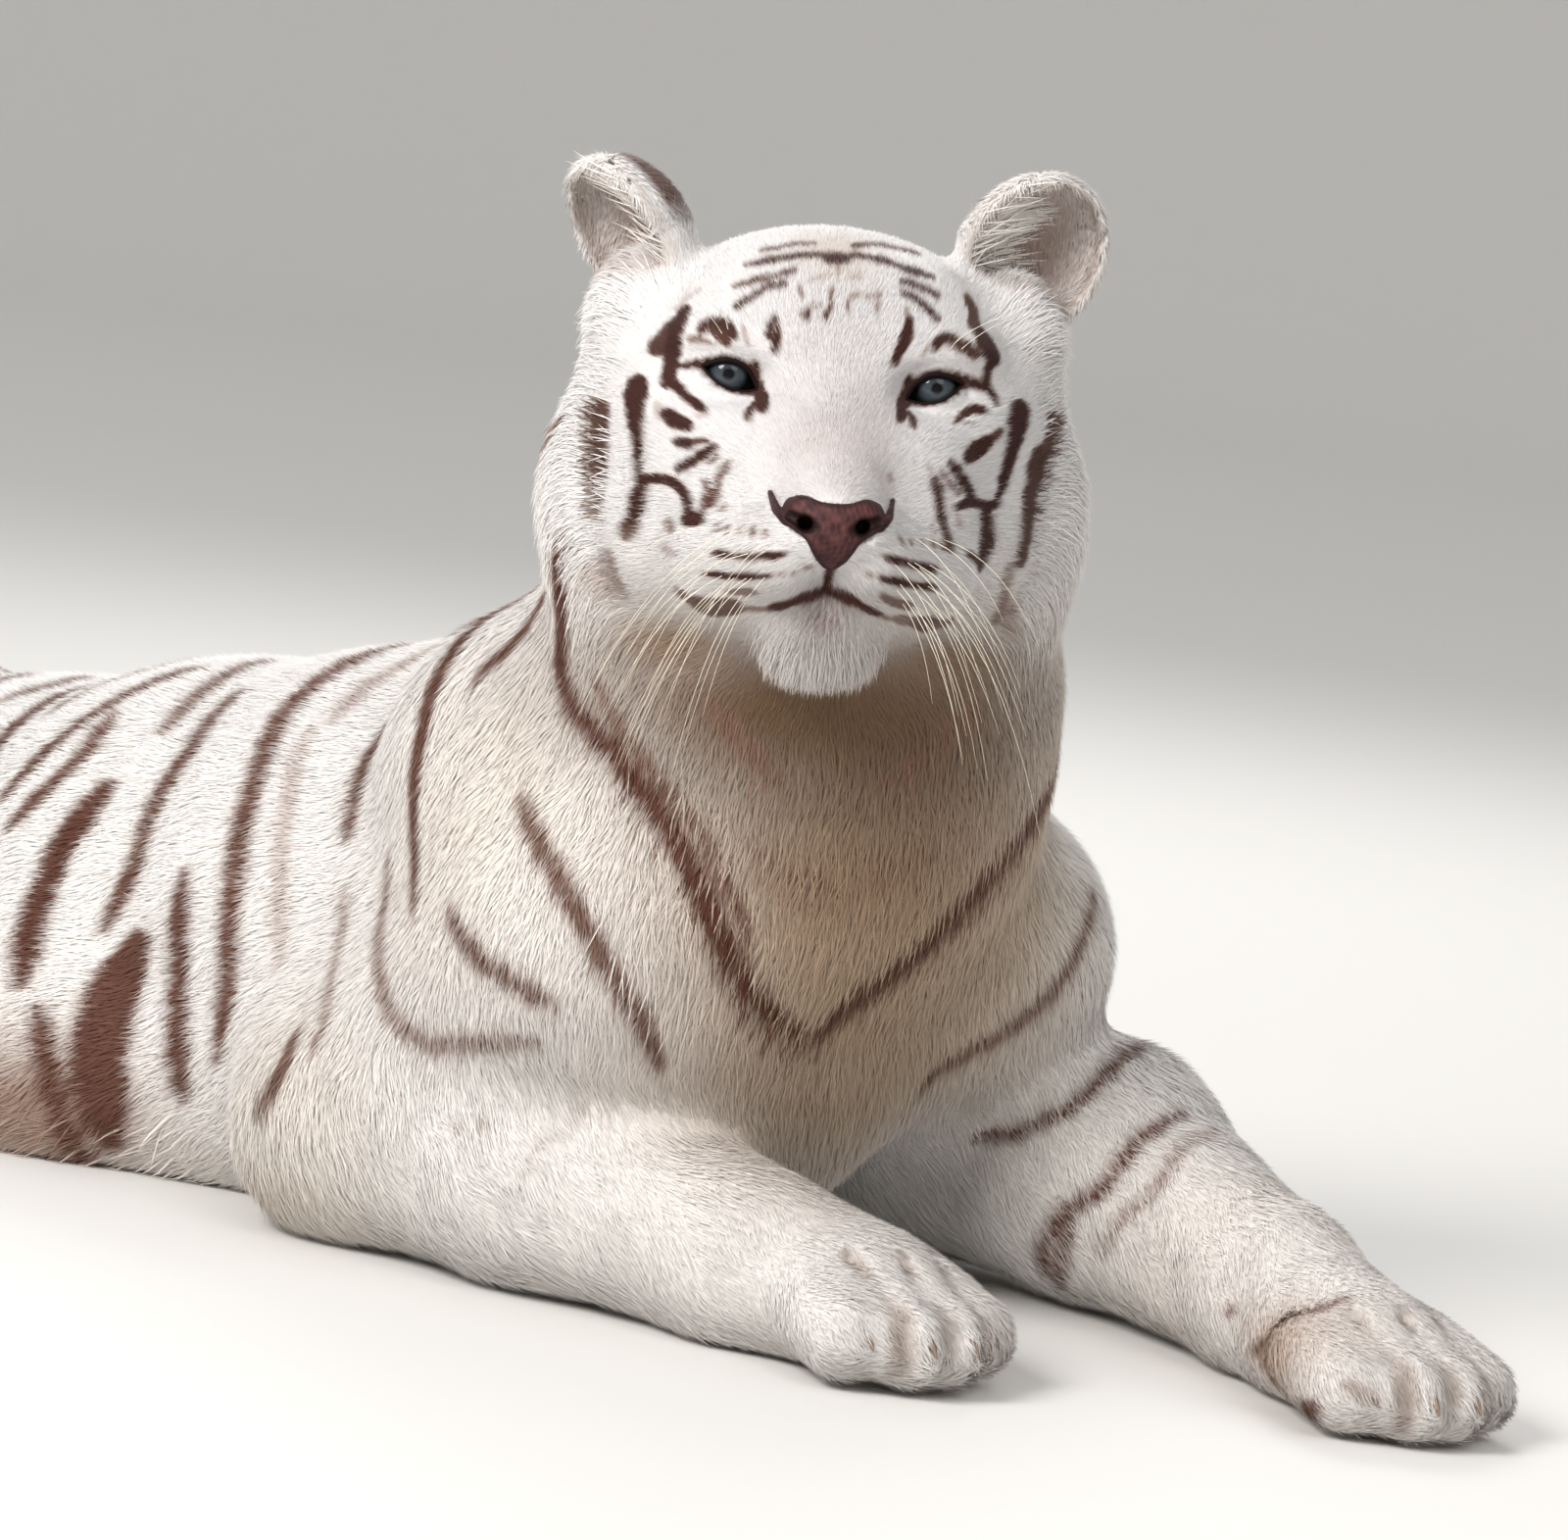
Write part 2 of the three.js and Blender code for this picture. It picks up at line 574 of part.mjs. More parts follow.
// tail in three lengths, then the neck and the trunk in three
const tailSolid = solid(facet(sunk, bounds([-90, 760, -60], [620, 1320, 280]), TAIL_CELL));
const tailCuts = [
  ['tail_tip', TAIL[6].at, [0.5, -1, 0], 420],
  ['tail_middle', TAIL[3].at, [1, 0.25, 0], 420],
  ['tail_root', [0, 1066, 130], [0, 0.9, -0.5], 420],
];
for (const [name, at, facing, size] of tailCuts) {
  takeFine(name, tailSolid, beyond(at, facing, size), beyond(at, facing, size, -GAP));
}
const trunkCuts = [
  ['neck', [-14, -120, 300], [-0.32, -0.42, 0.85]],
  ['rump', [0, 650, 200], [0, 1, 0]],
  ['belly', [0, 260, 200], [0, 1, 0]],
];
for (const [name, at, facing] of trunkCuts) {
  takeOff(name, beyond(at, facing), beyond(at, facing, 900, -GAP));
}
add('chest', rest);

export default group;
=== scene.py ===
import math

import bpy
import numpy as np
from mathutils import Matrix, Vector


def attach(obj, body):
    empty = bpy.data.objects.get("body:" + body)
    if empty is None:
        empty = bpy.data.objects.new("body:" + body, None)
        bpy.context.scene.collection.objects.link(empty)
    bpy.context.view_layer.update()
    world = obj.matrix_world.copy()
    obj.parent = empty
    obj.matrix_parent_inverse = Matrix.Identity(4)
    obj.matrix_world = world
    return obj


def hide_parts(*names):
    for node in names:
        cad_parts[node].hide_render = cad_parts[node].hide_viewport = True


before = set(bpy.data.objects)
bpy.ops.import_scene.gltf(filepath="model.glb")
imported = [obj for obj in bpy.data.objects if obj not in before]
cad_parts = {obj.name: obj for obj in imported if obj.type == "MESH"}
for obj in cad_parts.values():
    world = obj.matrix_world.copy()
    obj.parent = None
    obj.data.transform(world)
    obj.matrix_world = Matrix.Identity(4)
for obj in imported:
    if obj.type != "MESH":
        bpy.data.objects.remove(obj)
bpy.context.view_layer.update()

# A white tiger, life size, lying on its breastbone.  The skin is the surface where a distance
# function is zero, worked out in millimetres in the part's frame; the coat is made of thin solid
# tufts rooted on it; skin and coat take their colours from the same markings.

MM = 0.001
CHUNK = 200000  # points worked out at a time
rng = np.random.default_rng(7)


# ------------------------------------------------------------------ shapes as distances (mm) ----

def smooth_min(a, b, k):
    """The lesser of two distances, rounded over within k of their meeting."""
    h = np.maximum(k - np.abs(a - b), 0) / k
    return np.minimum(a, b) - h * h * k * 0.25


def smooth_max(a, b, k):
    """The greater of two distances, rounded in the same way."""
    return -smooth_min(-a, -b, k)


def near(lo, hi, shape, reach=90.0):
    """The shape, worked out only near its own box; further off, the distance to that box."""
    lo, hi = np.array(lo, np.float32), np.array(hi, np.float32)

    def distance(p):
        off = np.maximum(np.maximum(lo[:, None] - p, p - hi[:, None]), 0)
        gap = np.sqrt((off * off).sum(0))
        out = gap + reach * 0.5
        close = gap < reach
        if close.any():
            out[close] = shape(p[:, close])
        return out
    return distance


def blend(k, shapes):
    """Shapes joined into one, with fillets of about k."""
    def distance(p):
        d = shapes[0](p)
        for shape in shapes[1:]:
            d = smooth_min(d, shape(p), k)
        return d
    return distance


def ellipsoid(at, radii, turn=0.0):
    """An ellipsoid about a place, turned about the upright by some degrees."""
    c, s = math.cos(math.radians(turn)), math.sin(math.radians(turn))
    a, b, h = radii

    def distance(p):
        dx, dy = p[0] - at[0], p[1] - at[1]
        x, y, z = (dx * c + dy * s) / a, (dy * c - dx * s) / b, (p[2] - at[2]) / h
        far = np.sqrt(x * x + y * y + z * z)
        slope = np.sqrt((x / a) ** 2 + (y / b) ** 2 + (z / h) ** 2) + 1e-7
        return far * (far - 1) / slope
    return distance


def station(at, r=None, wide=None, tall=None):
    """A place on a middle line with the half width and half height of the limb there."""
    return np.array(at, np.float32), wide or r, tall or r


def girth(a, b):
    """A length of limb or trunk with an elliptical section (side to side, and up)."""
    (start, wide0, tall0), (end, wide1, tall1) = a, b
    along = end - start
    length = float(np.linalg.norm(along))
    way = along / length
    ref = np.array([0, 1, 0] if abs(way[2]) > 0.9 else [0, 0, 1], np.float32)
    up = ref - way * ref.dot(way)
    up /= np.linalg.norm(up)
    side = np.cross(way, up)

    def distance(p):
        q = [p[i] - start[i] for i in range(3)]
        t = np.clip((q[0] * way[0] + q[1] * way[1] + q[2] * way[2]) / length, 0, 1)
        q = [q[i] - along[i] * t for i in range(3)]
        wide = wide0 + (wide1 - wide0) * t
        tall = tall0 + (tall1 - tall0) * t
        least = np.minimum(wide, tall)
        u = (q[0] * side[0] + q[1] * side[1] + q[2] * side[2]) / wide
        v = (q[0] * up[0] + q[1] * up[1] + q[2] * up[2]) / tall
        w = (q[0] * way[0] + q[1] * way[1] + q[2] * way[2]) / least
        return (np.sqrt(u * u + v * v + w * w) - 1) * least
    return distance


def chain(stations, k):
    """A limb through several stations, worked out only near itself."""
    reach = [max(s[1], s[2]) for s in stations]
    lo = np.min([s[0] - r for s, r in zip(stations, reach)], axis=0)
    hi = np.max([s[0] + r for s, r in zip(stations, reach)], axis=0)
    return near(lo, hi, blend(k, [girth(a, b) for a, b in zip(stations, stations[1:])]))


def folded(p):
    """Points of both sides brought over to the left side."""
    return np.stack([np.abs(p[0]), p[1], p[2]])


def mirrored(shape):
    """A shape of the left side, on both sides."""
    return lambda p: shape(folded(p))


def beside(p, a, b):
    """How far along the line from a to b (0 to 1) each point is, and its offset from there."""
    a, b = np.array(a, np.float32), np.array(b, np.float32)
    along = b - a
    t = np.clip(((p - a[:, None]) * along[:, None]).sum(0) / max(along @ along, 1e-6), 0, 1)
    return t, p - a[:, None] - along[:, None] * t


def line_gap(p, a, b):
    """Distance from the line between a and b."""
    _, off = beside(p, a, b)
    return np.sqrt((off * off).sum(0))


def in_chunks(field, *columns):
    """A field worked out for some columns at a time, which keeps memory small."""
    count = columns[0].shape[1]
    return np.concatenate([field(*(c[:, i:i + CHUNK] for c in columns))
                           for i in range(0, count, CHUNK)], axis=-1)


# ------------------------------------------------------------------------- sizes of the body ----
# A station is a place with its half width and half height, in millimetres.  The body faces -Y,
# lies on z = 0 and has its left side at +X; the head is turned to the tiger's right.

TRUNK = [
    station((0, -95, 185), wide=150, tall=138),
    station((0, 20, 192), wide=178, tall=182),
    station((0, 170, 182), wide=194, tall=184),
    station((0, 350, 164), wide=206, tall=166),
    station((0, 540, 146), wide=192, tall=142),
    station((0, 740, 138), wide=172, tall=132),
    station((0, 910, 156), wide=150, tall=140),
    station((0, 1030, 154), wide=104, tall=104),
]
BELLY = [station((106, 180, 72), 82), station((152, 330, 64), 93), station((140, 570, 60), 84)]
KEEL = [station((-6, -150, 128), 84), station((0, 60, 90), 92)]
NECK = [
    station((-66, -208, 500), wide=142, tall=136),
    station((-50, -196, 415), wide=158, tall=152),
    station((-26, -160, 335), wide=168, tall=166),
    station((-4, -110, 255), wide=176, tall=172),
]
FORELEG = {
    "right": {
        "upper": [((-112, -20, 330), 88), ((-142, -138, 232), 104), ((-166, 34, 80), 79)],
        "lower": [((-166, 34, 80), 79), ((-148, -120, 80), 79), ((-122, -280, 55), 56)],
        "paw": {"at": (-95, -357, 41), "heading": -12, "long": 96, "wide": 66, "tall": 44},
    },
    "left": {
        "upper": [((112, -40, 326), 88), ((152, -172, 226), 106), ((220, -66, 98), 88)],
        "lower": [((220, -66, 98), 88), ((230, -262, 94), 87), ((186, -456, 56), 55)],
        "paw": {"at": (152, -558, 40), "heading": -16, "long": 98, "wide": 63, "tall": 41},
    },
}
HINDLEG = {
    "upper": [((96, 900, 166), 116), ((162, 700, 128), 112), ((206, 468, 104), 92)],
    "lower": [((206, 468, 104), 92), ((216, 680, 84), 74), ((200, 892, 50), 49)],
    "foot": [((200, 892, 50), 49), ((228, 690, 38), 44), ((248, 560, 38), 39)],
    "paw": {"at": (248, 560, 38), "heading": 12, "long": 92, "wide": 54, "tall": 39},
}
FORE_TOE = {"r": 27, "spread": 31.5, "reach": 60, "drop": 6, "arc": 22}
HIND_TOE = {"r": 23, "spread": 23, "reach": 53, "drop": 8, "arc": 15}
TOES = (-1.5, -0.5, 0.5, 1.5)  # places of the four toes across a paw, in steps of its spread
RIGHT_PAW, LEFT_PAW, HIND_PAW = FORELEG["right"]["paw"], FORELEG["left"]["paw"], HINDLEG["paw"]
FEET = [RIGHT_PAW["at"], LEFT_PAW["at"], HIND_PAW["at"], (-248, 560, 38)]
TAIL = [
    ((0, 1046, 150), 46), ((4, 1116, 92), 41), ((34, 1176, 42), 37), ((118, 1222, 32), 35),
    ((232, 1228, 30), 33), ((340, 1180, 29), 32), ((424, 1090, 28), 31), ((482, 980, 27), 30),
    ((524, 862, 24), 26),
]
SINK = 5.0  # how much fuller the body is at the floor, where it presses

HEAD_AT = np.array([-169, -304, 601], np.float32)  # between the eyes; the head's own frame starts here
YAW, PITCH, ROLL = (math.radians(a) for a in (-43, -2.4, -3.2))
HEAD_TURN = np.array(Matrix.Rotation(YAW, 3, "Z") @ Matrix.Rotation(PITCH, 3, "X")
                     @ Matrix.Rotation(ROLL, 3, "Y"), np.float32)
EYE = np.array([62.3, 8, 0], np.float32)  # left eye, in the head's frame
EYE_R = 19.0
SIDES = ((1, "left"), (-1, "right"))


HEAD_BACK = HEAD_TURN @ np.array([[0], [1], [0]], np.float32)  # from the face to the nape


def stations(rows):
    return [station(at, r) for at, r in rows]


def to_head(p):
    """The part's frame to the head's own."""
    return HEAD_TURN.T @ (p - HEAD_AT[:, None])


def from_head(q):
    """The head's own frame to the part's."""
    return HEAD_TURN @ q + HEAD_AT[:, None]


def on_paw(paw, forward, across, z):
    """A place on a paw, from its middle: toward the toes, to the tiger's left, and its height."""
    a = math.radians(paw["heading"])
    x, y, _ = paw["at"]
    return (x + math.sin(a) * forward + math.cos(a) * across,
            y - math.cos(a) * forward + math.sin(a) * across, z)


def round_paw(paw, shape, out, reach=90.0):
    """The shape, worked out only round its paw."""
    x, y, _ = paw["at"]
    return near((x - out, y - out, -20), (x + out, y + out, 110), shape, reach)


def toe_reach(toe, i):
    """How far forward toe i stands; the outer toes stand further back."""
    return toe["reach"] - toe["arc"] * (abs(i) - 0.5)


def paw_shape(paw, toe):
    """A pad of a paw with its four toes."""
    tall, wide, long = paw["tall"], paw["wide"], paw["long"]
    shapes = [girth(station(on_paw(paw, -long * 0.42, 0, tall), wide=wide * 0.88, tall=tall + 2),
                    station(on_paw(paw, long * 0.22, 0, tall - 3), wide=wide, tall=tall - 2))]
    for i in TOES:
        reach, across, r = toe_reach(toe, i), i * toe["spread"], toe["r"]
        shapes.append(girth(
            station(on_paw(paw, reach - 34, across * 0.94, tall + 2), r),
            station(on_paw(paw, reach + 14, across, tall - toe["drop"] - 4), r + 1)))
    return round_paw(paw, blend(14, shapes), 130)


def foreleg_shape(leg):
    """Upper arm and forearm, down to the pastern over the paw."""
    x, y, _ = leg["paw"]["at"]
    pastern = station((x, y, leg["paw"]["tall"] + 2), leg["paw"]["tall"])
    return blend(34, [chain(stations(leg["upper"]), 40),
                      chain(stations(leg["lower"]) + [pastern], 26)])


def hindleg_shape():
    """The left hind leg, folded: thigh forward, shank back, foot forward again."""
    return blend(30, [chain(stations(HINDLEG["upper"]), 40), chain(stations(HINDLEG["lower"]), 30),
                      chain(stations(HINDLEG["foot"]), 24)])


def skull_shape():
    """The head in its own frame, from between the eyes, without ears or nose leather."""
    soft = blend(26, [
        ellipsoid((0, 84, 16), (116, 98, 80)),  # cranium
        ellipsoid((0, 34, 18), (92, 50, 54)),  # forehead
        mirrored(ellipsoid((114, 88, 26), (38, 48, 52))),  # roots of the ears
        mirrored(ellipsoid((86, 54, -34), (58, 58, 60))),  # cheek bones
        mirrored(ellipsoid((108, 90, -80), (66, 58, 94))),  # ruff
        mirrored(ellipsoid((84, 36, -92), (52, 56, 58))),  # jaw muscles
        girth(station((0, 0, -124), wide=66, tall=48), station((0, 110, -128), wide=96, tall=56)),
    ])
    muzzle = blend(26, [
        girth(station((0, 6, -2), wide=45, tall=30), station((0, -74, -76), wide=33, tall=27)),
        mirrored(girth(station((25, -74, -106), 29), station((52, -28, -106), 42))),
        girth(station((0, -44, -146), wide=42, tall=32), station((0, 30, -144), wide=78, tall=44)),
        ellipsoid((0, -46, -164), (37, 31, 26)),  # tuft of the chin
        mirrored(ellipsoid((58, 12, 20), (40, 28, 15))),  # brows
        mirrored(ellipsoid((68, 8, -27), (38, 26, 17))),  # under the eyes
        mirrored(ellipsoid((48, -8, -58), (45, 44, 40))),  # upper jaw
    ])
    nose = ellipsoid((0, -92, -86), (31, 20, 23))
    return blend(12, [blend(24, [soft, muzzle]), nose])


trunk = blend(50, [chain(TRUNK, 40), mirrored(chain(BELLY, 40)),
                   ellipsoid((0, 50, 290), (96, 126, 132)), chain(KEEL, 40)])
neck = chain(NECK, 60)
forelegs = [foreleg_shape(FORELEG[side]) for side in ("right", "left")]
hindlegs = mirrored(hindleg_shape())
tail = chain(stations(TAIL), 16)
feet = blend(10, [paw_shape(RIGHT_PAW, FORE_TOE), paw_shape(LEFT_PAW, FORE_TOE),
                  mirrored(paw_shape(HIND_PAW, HIND_TOE))])
torso = blend(62, [trunk, neck] + forelegs)
with_tail = blend(28, [blend(40, [torso, hindlegs]), tail])
skull = near((-175, -122, -195), (175, 200, 105), skull_shape())


def outline(p):
    """Distance to the tips of the coat."""
    d = smooth_min(with_tail(p), feet(p), 24)
    d = smooth_min(d, skull(to_head(p)), 40)
    return d - SINK * np.clip((60 - p[2]) / 60, 0, 1)


# ---------------------------------------------------------------------- skin under the coat ----

def bump_at(p, at, reach):
    """1 at a point, falling smoothly to 0 over about its reach (one number or three)."""
    reach = np.broadcast_to(np.array(reach, np.float32), (3,))
    return np.exp(-sum(((p[i] - at[i]) / reach[i]) ** 2 for i in range(3)))


BODY_COAT, FOOT_COAT = 7.0, 4.0  # depth of the coat


def coat_depth(p):
    """How far the tips of the coat stand out from the skin, in millimetres."""
    depth = np.full(p.shape[1], BODY_COAT, np.float32)
    q = to_head(p)
    m = folded(q)
    on_head = np.clip(1.4 - head_distance(q) / 60, 0, 1)
    face = 3.2 + 13 * bump_at(m, (112, 84, -88), (44, 60, 76)) \
        + 12 * bump_at(m, (0, -40, -172), (40, 40, 26)) + 6 * bump_at(m, (50, 60, -160), (60, 70, 40))
    depth += 5 * bump_at(p, (-20, -240, 250), (110, 90, 160))  # breast
    depth += 5 * bump_at(p, (0, 420, 20), (190, 420, 70))  # belly
    depth = depth * (1 - on_head) + face * on_head
    for at in FEET:
        near_foot = np.clip(1.5 * bump_at(p, at, 130), 0, 1)
        depth = depth * (1 - near_foot) + FOOT_COAT * near_foot
    return depth


def head_distance(q):
    """Rough distance outside the head."""
    return np.maximum(np.sqrt((q[0] / 1.0) ** 2 + ((q[1] - 20) / 1.1) ** 2
                              + ((q[2] + 40) / 1.05) ** 2) - 128, 0)


LID = {"half": 18.5, "upper": 9.9, "lower": 5.9, "tilt": 19.0, "at": (-0.8, -2.2)}
LID_TILT = math.cos(math.radians(LID["tilt"])), math.sin(math.radians(LID["tilt"]))
MOUTH = [((0, -108, -125), 2.4), ((13, -106, -130), 2.8), ((27, -96, -137), 3.2),
         ((48, -76, -144), 3.6), ((66, -50, -148), 4.4), ((80, -22, -147), 5.5)]
TOE_CREASE = [(-26, 31, 2), (2, 27, 4.5), (34, 12, 5.5), (46, -16, 6), (44, -36, 7)]
HEAD_SKIN_REACH = 125  # how far outside the head its finer shapes are still worked out
EAR = {  # size of the cup across, deep and up; then each ear's place and how it leans and turns
    "cup": (44, 36, 52),
    1: {"at": (125, 84, 84), "lean": 34, "turn": 27},
    -1: {"at": (127, 84, 78), "lean": 32, "turn": 71},
}


def from_eye(m):
    """Distance to the middle of the eye."""
    return np.sqrt(sum((m[i] - EYE[i]) ** 2 for i in range(3)))


def lid_opening(m):
    """Below zero between the lids, seen along the eye's own axis."""
    c, s = LID_TILT
    x, z = m[0] - EYE[0] - LID["at"][0], m[2] - EYE[2] - LID["at"][1]
    u, w = x * c + z * s, z * c - x * s
    arc = 1 - (u / LID["half"]) ** 2
    steep = np.sqrt(1 + (u / 18) ** 2)
    return np.maximum(w - LID["upper"] * arc, -w - LID["lower"] * arc) / steep


def ear_frame(side):
    """Where an ear stands on the head, and its directions: up, out of its opening, and across."""
    pose = EAR[side]
    lean, turn = math.radians(pose["lean"]), math.radians(pose["turn"])
    up = np.array([math.sin(lean), 0.14, math.cos(lean)])
    up /= np.linalg.norm(up)
    face = np.array([math.sin(turn), -math.cos(turn), 0])
    face -= up * face.dot(up)
    face /= np.linalg.norm(face)
    flip = np.array([side, 1, 1])
    return [v.astype(np.float32) for v in (np.array(pose["at"]) * flip, up * flip, face * flip,
                                           np.cross(face, up) * flip)]


def ear_local(q, side):
    """Head coordinates to an ear's own: across it, out of its opening, and up to its tip."""
    at, up, face, across = ear_frame(side)
    d = q - at[:, None]
    return np.stack([across @ d, face @ d, up @ d])


def in_cup(e):
    """Below 1 inside the cup of an ear."""
    return sum((e[i] / EAR["cup"][i]) ** 2 for i in range(3))


def ear_shape(side):
    """A thin cup: the back of an ellipsoid's shell, open along the ear's facing."""
    bowl = ellipsoid((0, 0, 0), EAR["cup"])

    def distance(q):
        e = ear_local(q, side)
        shell = np.abs(bowl(e)) - 3.6 + 0.02 * e[2]
        return smooth_max(shell, e[1] - 4 - 0.1 * e[2], 4)
    return distance


EARS = {1: ear_shape(1), -1: ear_shape(-1)}
nostrils = mirrored(blend(3, [
    girth(station((11.5, -112, -86), 2.9), station((18.5, -109, -84), 4.3)),
    girth(station((18.5, -109, -84), 4.3), station((26.5, -102, -80), 2.9)),
    girth(station((17, -108, -84.5), 4.2), station((16.5, -86, -82), 4.0)),
]))


def head_skin(d, q):
    """The skin of the head: ears, lids, mouth and philtrum worked into the distance d."""
    m = folded(q)
    d = smooth_max(d, -ellipsoid((64, -24, -2), (26, 22, 13), 14)(m), 12)
    eye = from_eye(m)
    lids = np.maximum(eye - EYE_R - 2.8, m[1] - EYE[1] - 8)
    d = smooth_min(d, lids, 8)
    crease = np.abs(eye - EYE_R - 3.2) + np.abs(lid_opening(m) - 7.5) * 0.5
    d = d + 1.6 * np.exp(-(crease / 3.0) ** 2) * (m[2] > -4)
    opening = np.maximum(lid_opening(m), m[1] - EYE[1] + 2)
    d = np.where(eye < 45, smooth_max(d, -opening, 1.6), d)
    d = np.where(eye < 30, np.maximum(d, EYE_R - 0.5 - eye), d)
    line = near((-10, -118, -160), (95, 10, -110), blend(2, [
        girth(station(a, ra), station(b, rb)) for (a, ra), (b, rb) in zip(MOUTH, MOUTH[1:])]), 40)
    d = smooth_max(d, -line(m), 6)
    philtrum = girth(station((0, -116, -104), 2.0), station((0, -110, -126), 3.0))
    d = smooth_max(d, -philtrum(m), 6)
    d = smooth_max(d, 3.0 - nostrils(q), 2)
    return smooth_min(smooth_min(d, EARS[1](q), 14), EARS[-1](q), 14)


def toe_gaps(paw, toe):
    """The creases between the toes, over their tops and down their fronts."""
    tall, lines = paw["tall"], []
    for i in (-1, 0, 1):
        start, across = toe_reach(toe, abs(i) * 0.5 + 0.5), i * toe["spread"] * 0.98
        rows = [station(on_paw(paw, start + forward, across, tall + up_by), r)
                for forward, up_by, r in TOE_CREASE]
        lines += [girth(p, q) for p, q in zip(rows, rows[1:])]
    return round_paw(paw, blend(2, lines), 150, 40)


gaps = [toe_gaps(RIGHT_PAW, FORE_TOE), toe_gaps(LEFT_PAW, FORE_TOE),
        mirrored(toe_gaps(HIND_PAW, HIND_TOE))]


def skin(p):
    """Distance to the bare skin."""
    d = outline(p) + coat_depth(p)
    q = to_head(p)
    close = head_distance(q) < HEAD_SKIN_REACH
    if close.any():
        d[close] = head_skin(d[close], q[:, close])
    low = p[2] < 120
    for gap in gaps:
        d[low] = smooth_max(d[low], -gap(p[:, low]), 9)
    return smooth_max(d, 2.5 - p[2], 6)


# ------------------------------------------------------------------------- surfaces to meshes ----

def gradient(shape, p):
    """Which way a distance grows, and how fast."""
    e, g = 0.6, []
    for axis in range(3):
        step = np.zeros((3, 1), np.float32)
        step[axis] = e
        g.append((shape(p + step) - shape(p - step)) / (2 * e))
    return np.stack(g)


def settle(shape, p, steps=2, most=3.0):
    """Moves points onto the surface of a shape, and gives its outward direction there."""
    for _ in range(steps):
        g = gradient(shape, p)
        move = shape(p) / np.maximum((g * g).sum(0), 0.05)
        p = p - g * np.clip(move, -most, most)
    g = gradient(shape, p)
    return p, g / np.maximum(np.sqrt((g * g).sum(0)), 1e-6)


def surface(shape, lo, hi, cell, warp=lambda q: q, coarse=4):
    """One closed mesh of quads where a distance is zero, on a lattice that warp may bend."""
    lo, hi = np.array(lo, np.float32), np.array(hi, np.float32)
    n = np.ceil((hi - lo) / (cell * coarse)).astype(int) + 1

    def lattice(count, step):
        return [lo[i] + step * np.arange(count[i], dtype=np.float32) for i in range(3)]

    def values(axes, pick=None):
        grid = np.stack(np.meshgrid(*axes, indexing="ij")).reshape(3, -1).astype(np.float32)
        if pick is not None:
            grid = grid[:, pick]
        return in_chunks(lambda g: shape(warp(g)), grid).astype(np.float32)
    rough = values(lattice(n, cell * coarse)).reshape(n)
    for axis in range(3):  # the coarse lattice filled in, to find the cells near the surface
        count = (rough.shape[axis] - 1) * coarse + 1
        at = np.arange(count) / coarse
        i = np.minimum(at.astype(int), rough.shape[axis] - 2)
        t = (at - i).reshape([-1 if a == axis else 1 for a in range(3)]).astype(np.float32)
        rough = np.take(rough, i, axis) * (1 - t) + np.take(rough, i + 1, axis) * t
    pick = np.flatnonzero(np.abs(rough.ravel()) < cell * coarse * 0.9)
    fine = rough.ravel()
    fine[pick] = values(lattice(rough.shape, cell), pick)
    fine = fine.reshape(rough.shape)
    fine[fine == 0] = 1e-6
    inside = fine < 0
    dims = np.array(fine.shape)
    strides = np.array([dims[1] * dims[2], dims[2], 1])
    cells, spots, quads = [], [], []  # each crossed lattice edge gives a quad between four cells
    for axis in range(3):
        a = [slice(None)] * 3
        b = [slice(None)] * 3
        a[axis], b[axis] = slice(0, -1), slice(1, None)
        cross = np.stack(np.nonzero(inside[tuple(a)] != inside[tuple(b)]), 1)
        other = cross.copy()
        other[:, axis] += 1
        va, vb = fine[tuple(cross.T)], fine[tuple(other.T)]
        spot = cross.astype(np.float32)
        spot[:, axis] += va / (va - vb)
        u, w = (axis + 1) % 3, (axis + 2) % 3
        ring = []
        for du, dw in ((0, 0), (1, 0), (1, 1), (0, 1)):
            c = cross.copy()
            c[:, u] -= du
            c[:, w] -= dw
            ring.append(c @ strides)
            cells.append(ring[-1])
            spots.append(spot)
        ring = np.stack(ring, 1)
        ring[vb < va] = ring[vb < va][:, ::-1]
        quads.append(ring)
    cells, spots, quads = np.concatenate(cells), np.concatenate(spots), np.concatenate(quads)
    names, back = np.unique(cells, return_inverse=True)
    total = np.bincount(back)
    points = np.stack([np.bincount(back, spots[:, i]) / total for i in range(3)])
    points = warp((lo[:, None] + points * cell).astype(np.float32))
    quads = np.searchsorted(names, quads)
    return in_chunks(lambda p: settle(shape, p)[0], points), quads


FACE_CENTRE = from_head(np.array([[0], [-12], [-58]], np.float32))
GROW, GROW_REACH = 0.85, 380.0  # how much finer the lattice is at the face, and how far that goes


def magnify(q):
    """Draws the lattice together round the face, so its cells are finest there."""
    v = q - FACE_CENTRE
    r = np.sqrt((v * v).sum(0)) + 1e-3
    return FACE_CENTRE + v * ((r - GROW * GROW_REACH * np.tanh(r / GROW_REACH)) / r)


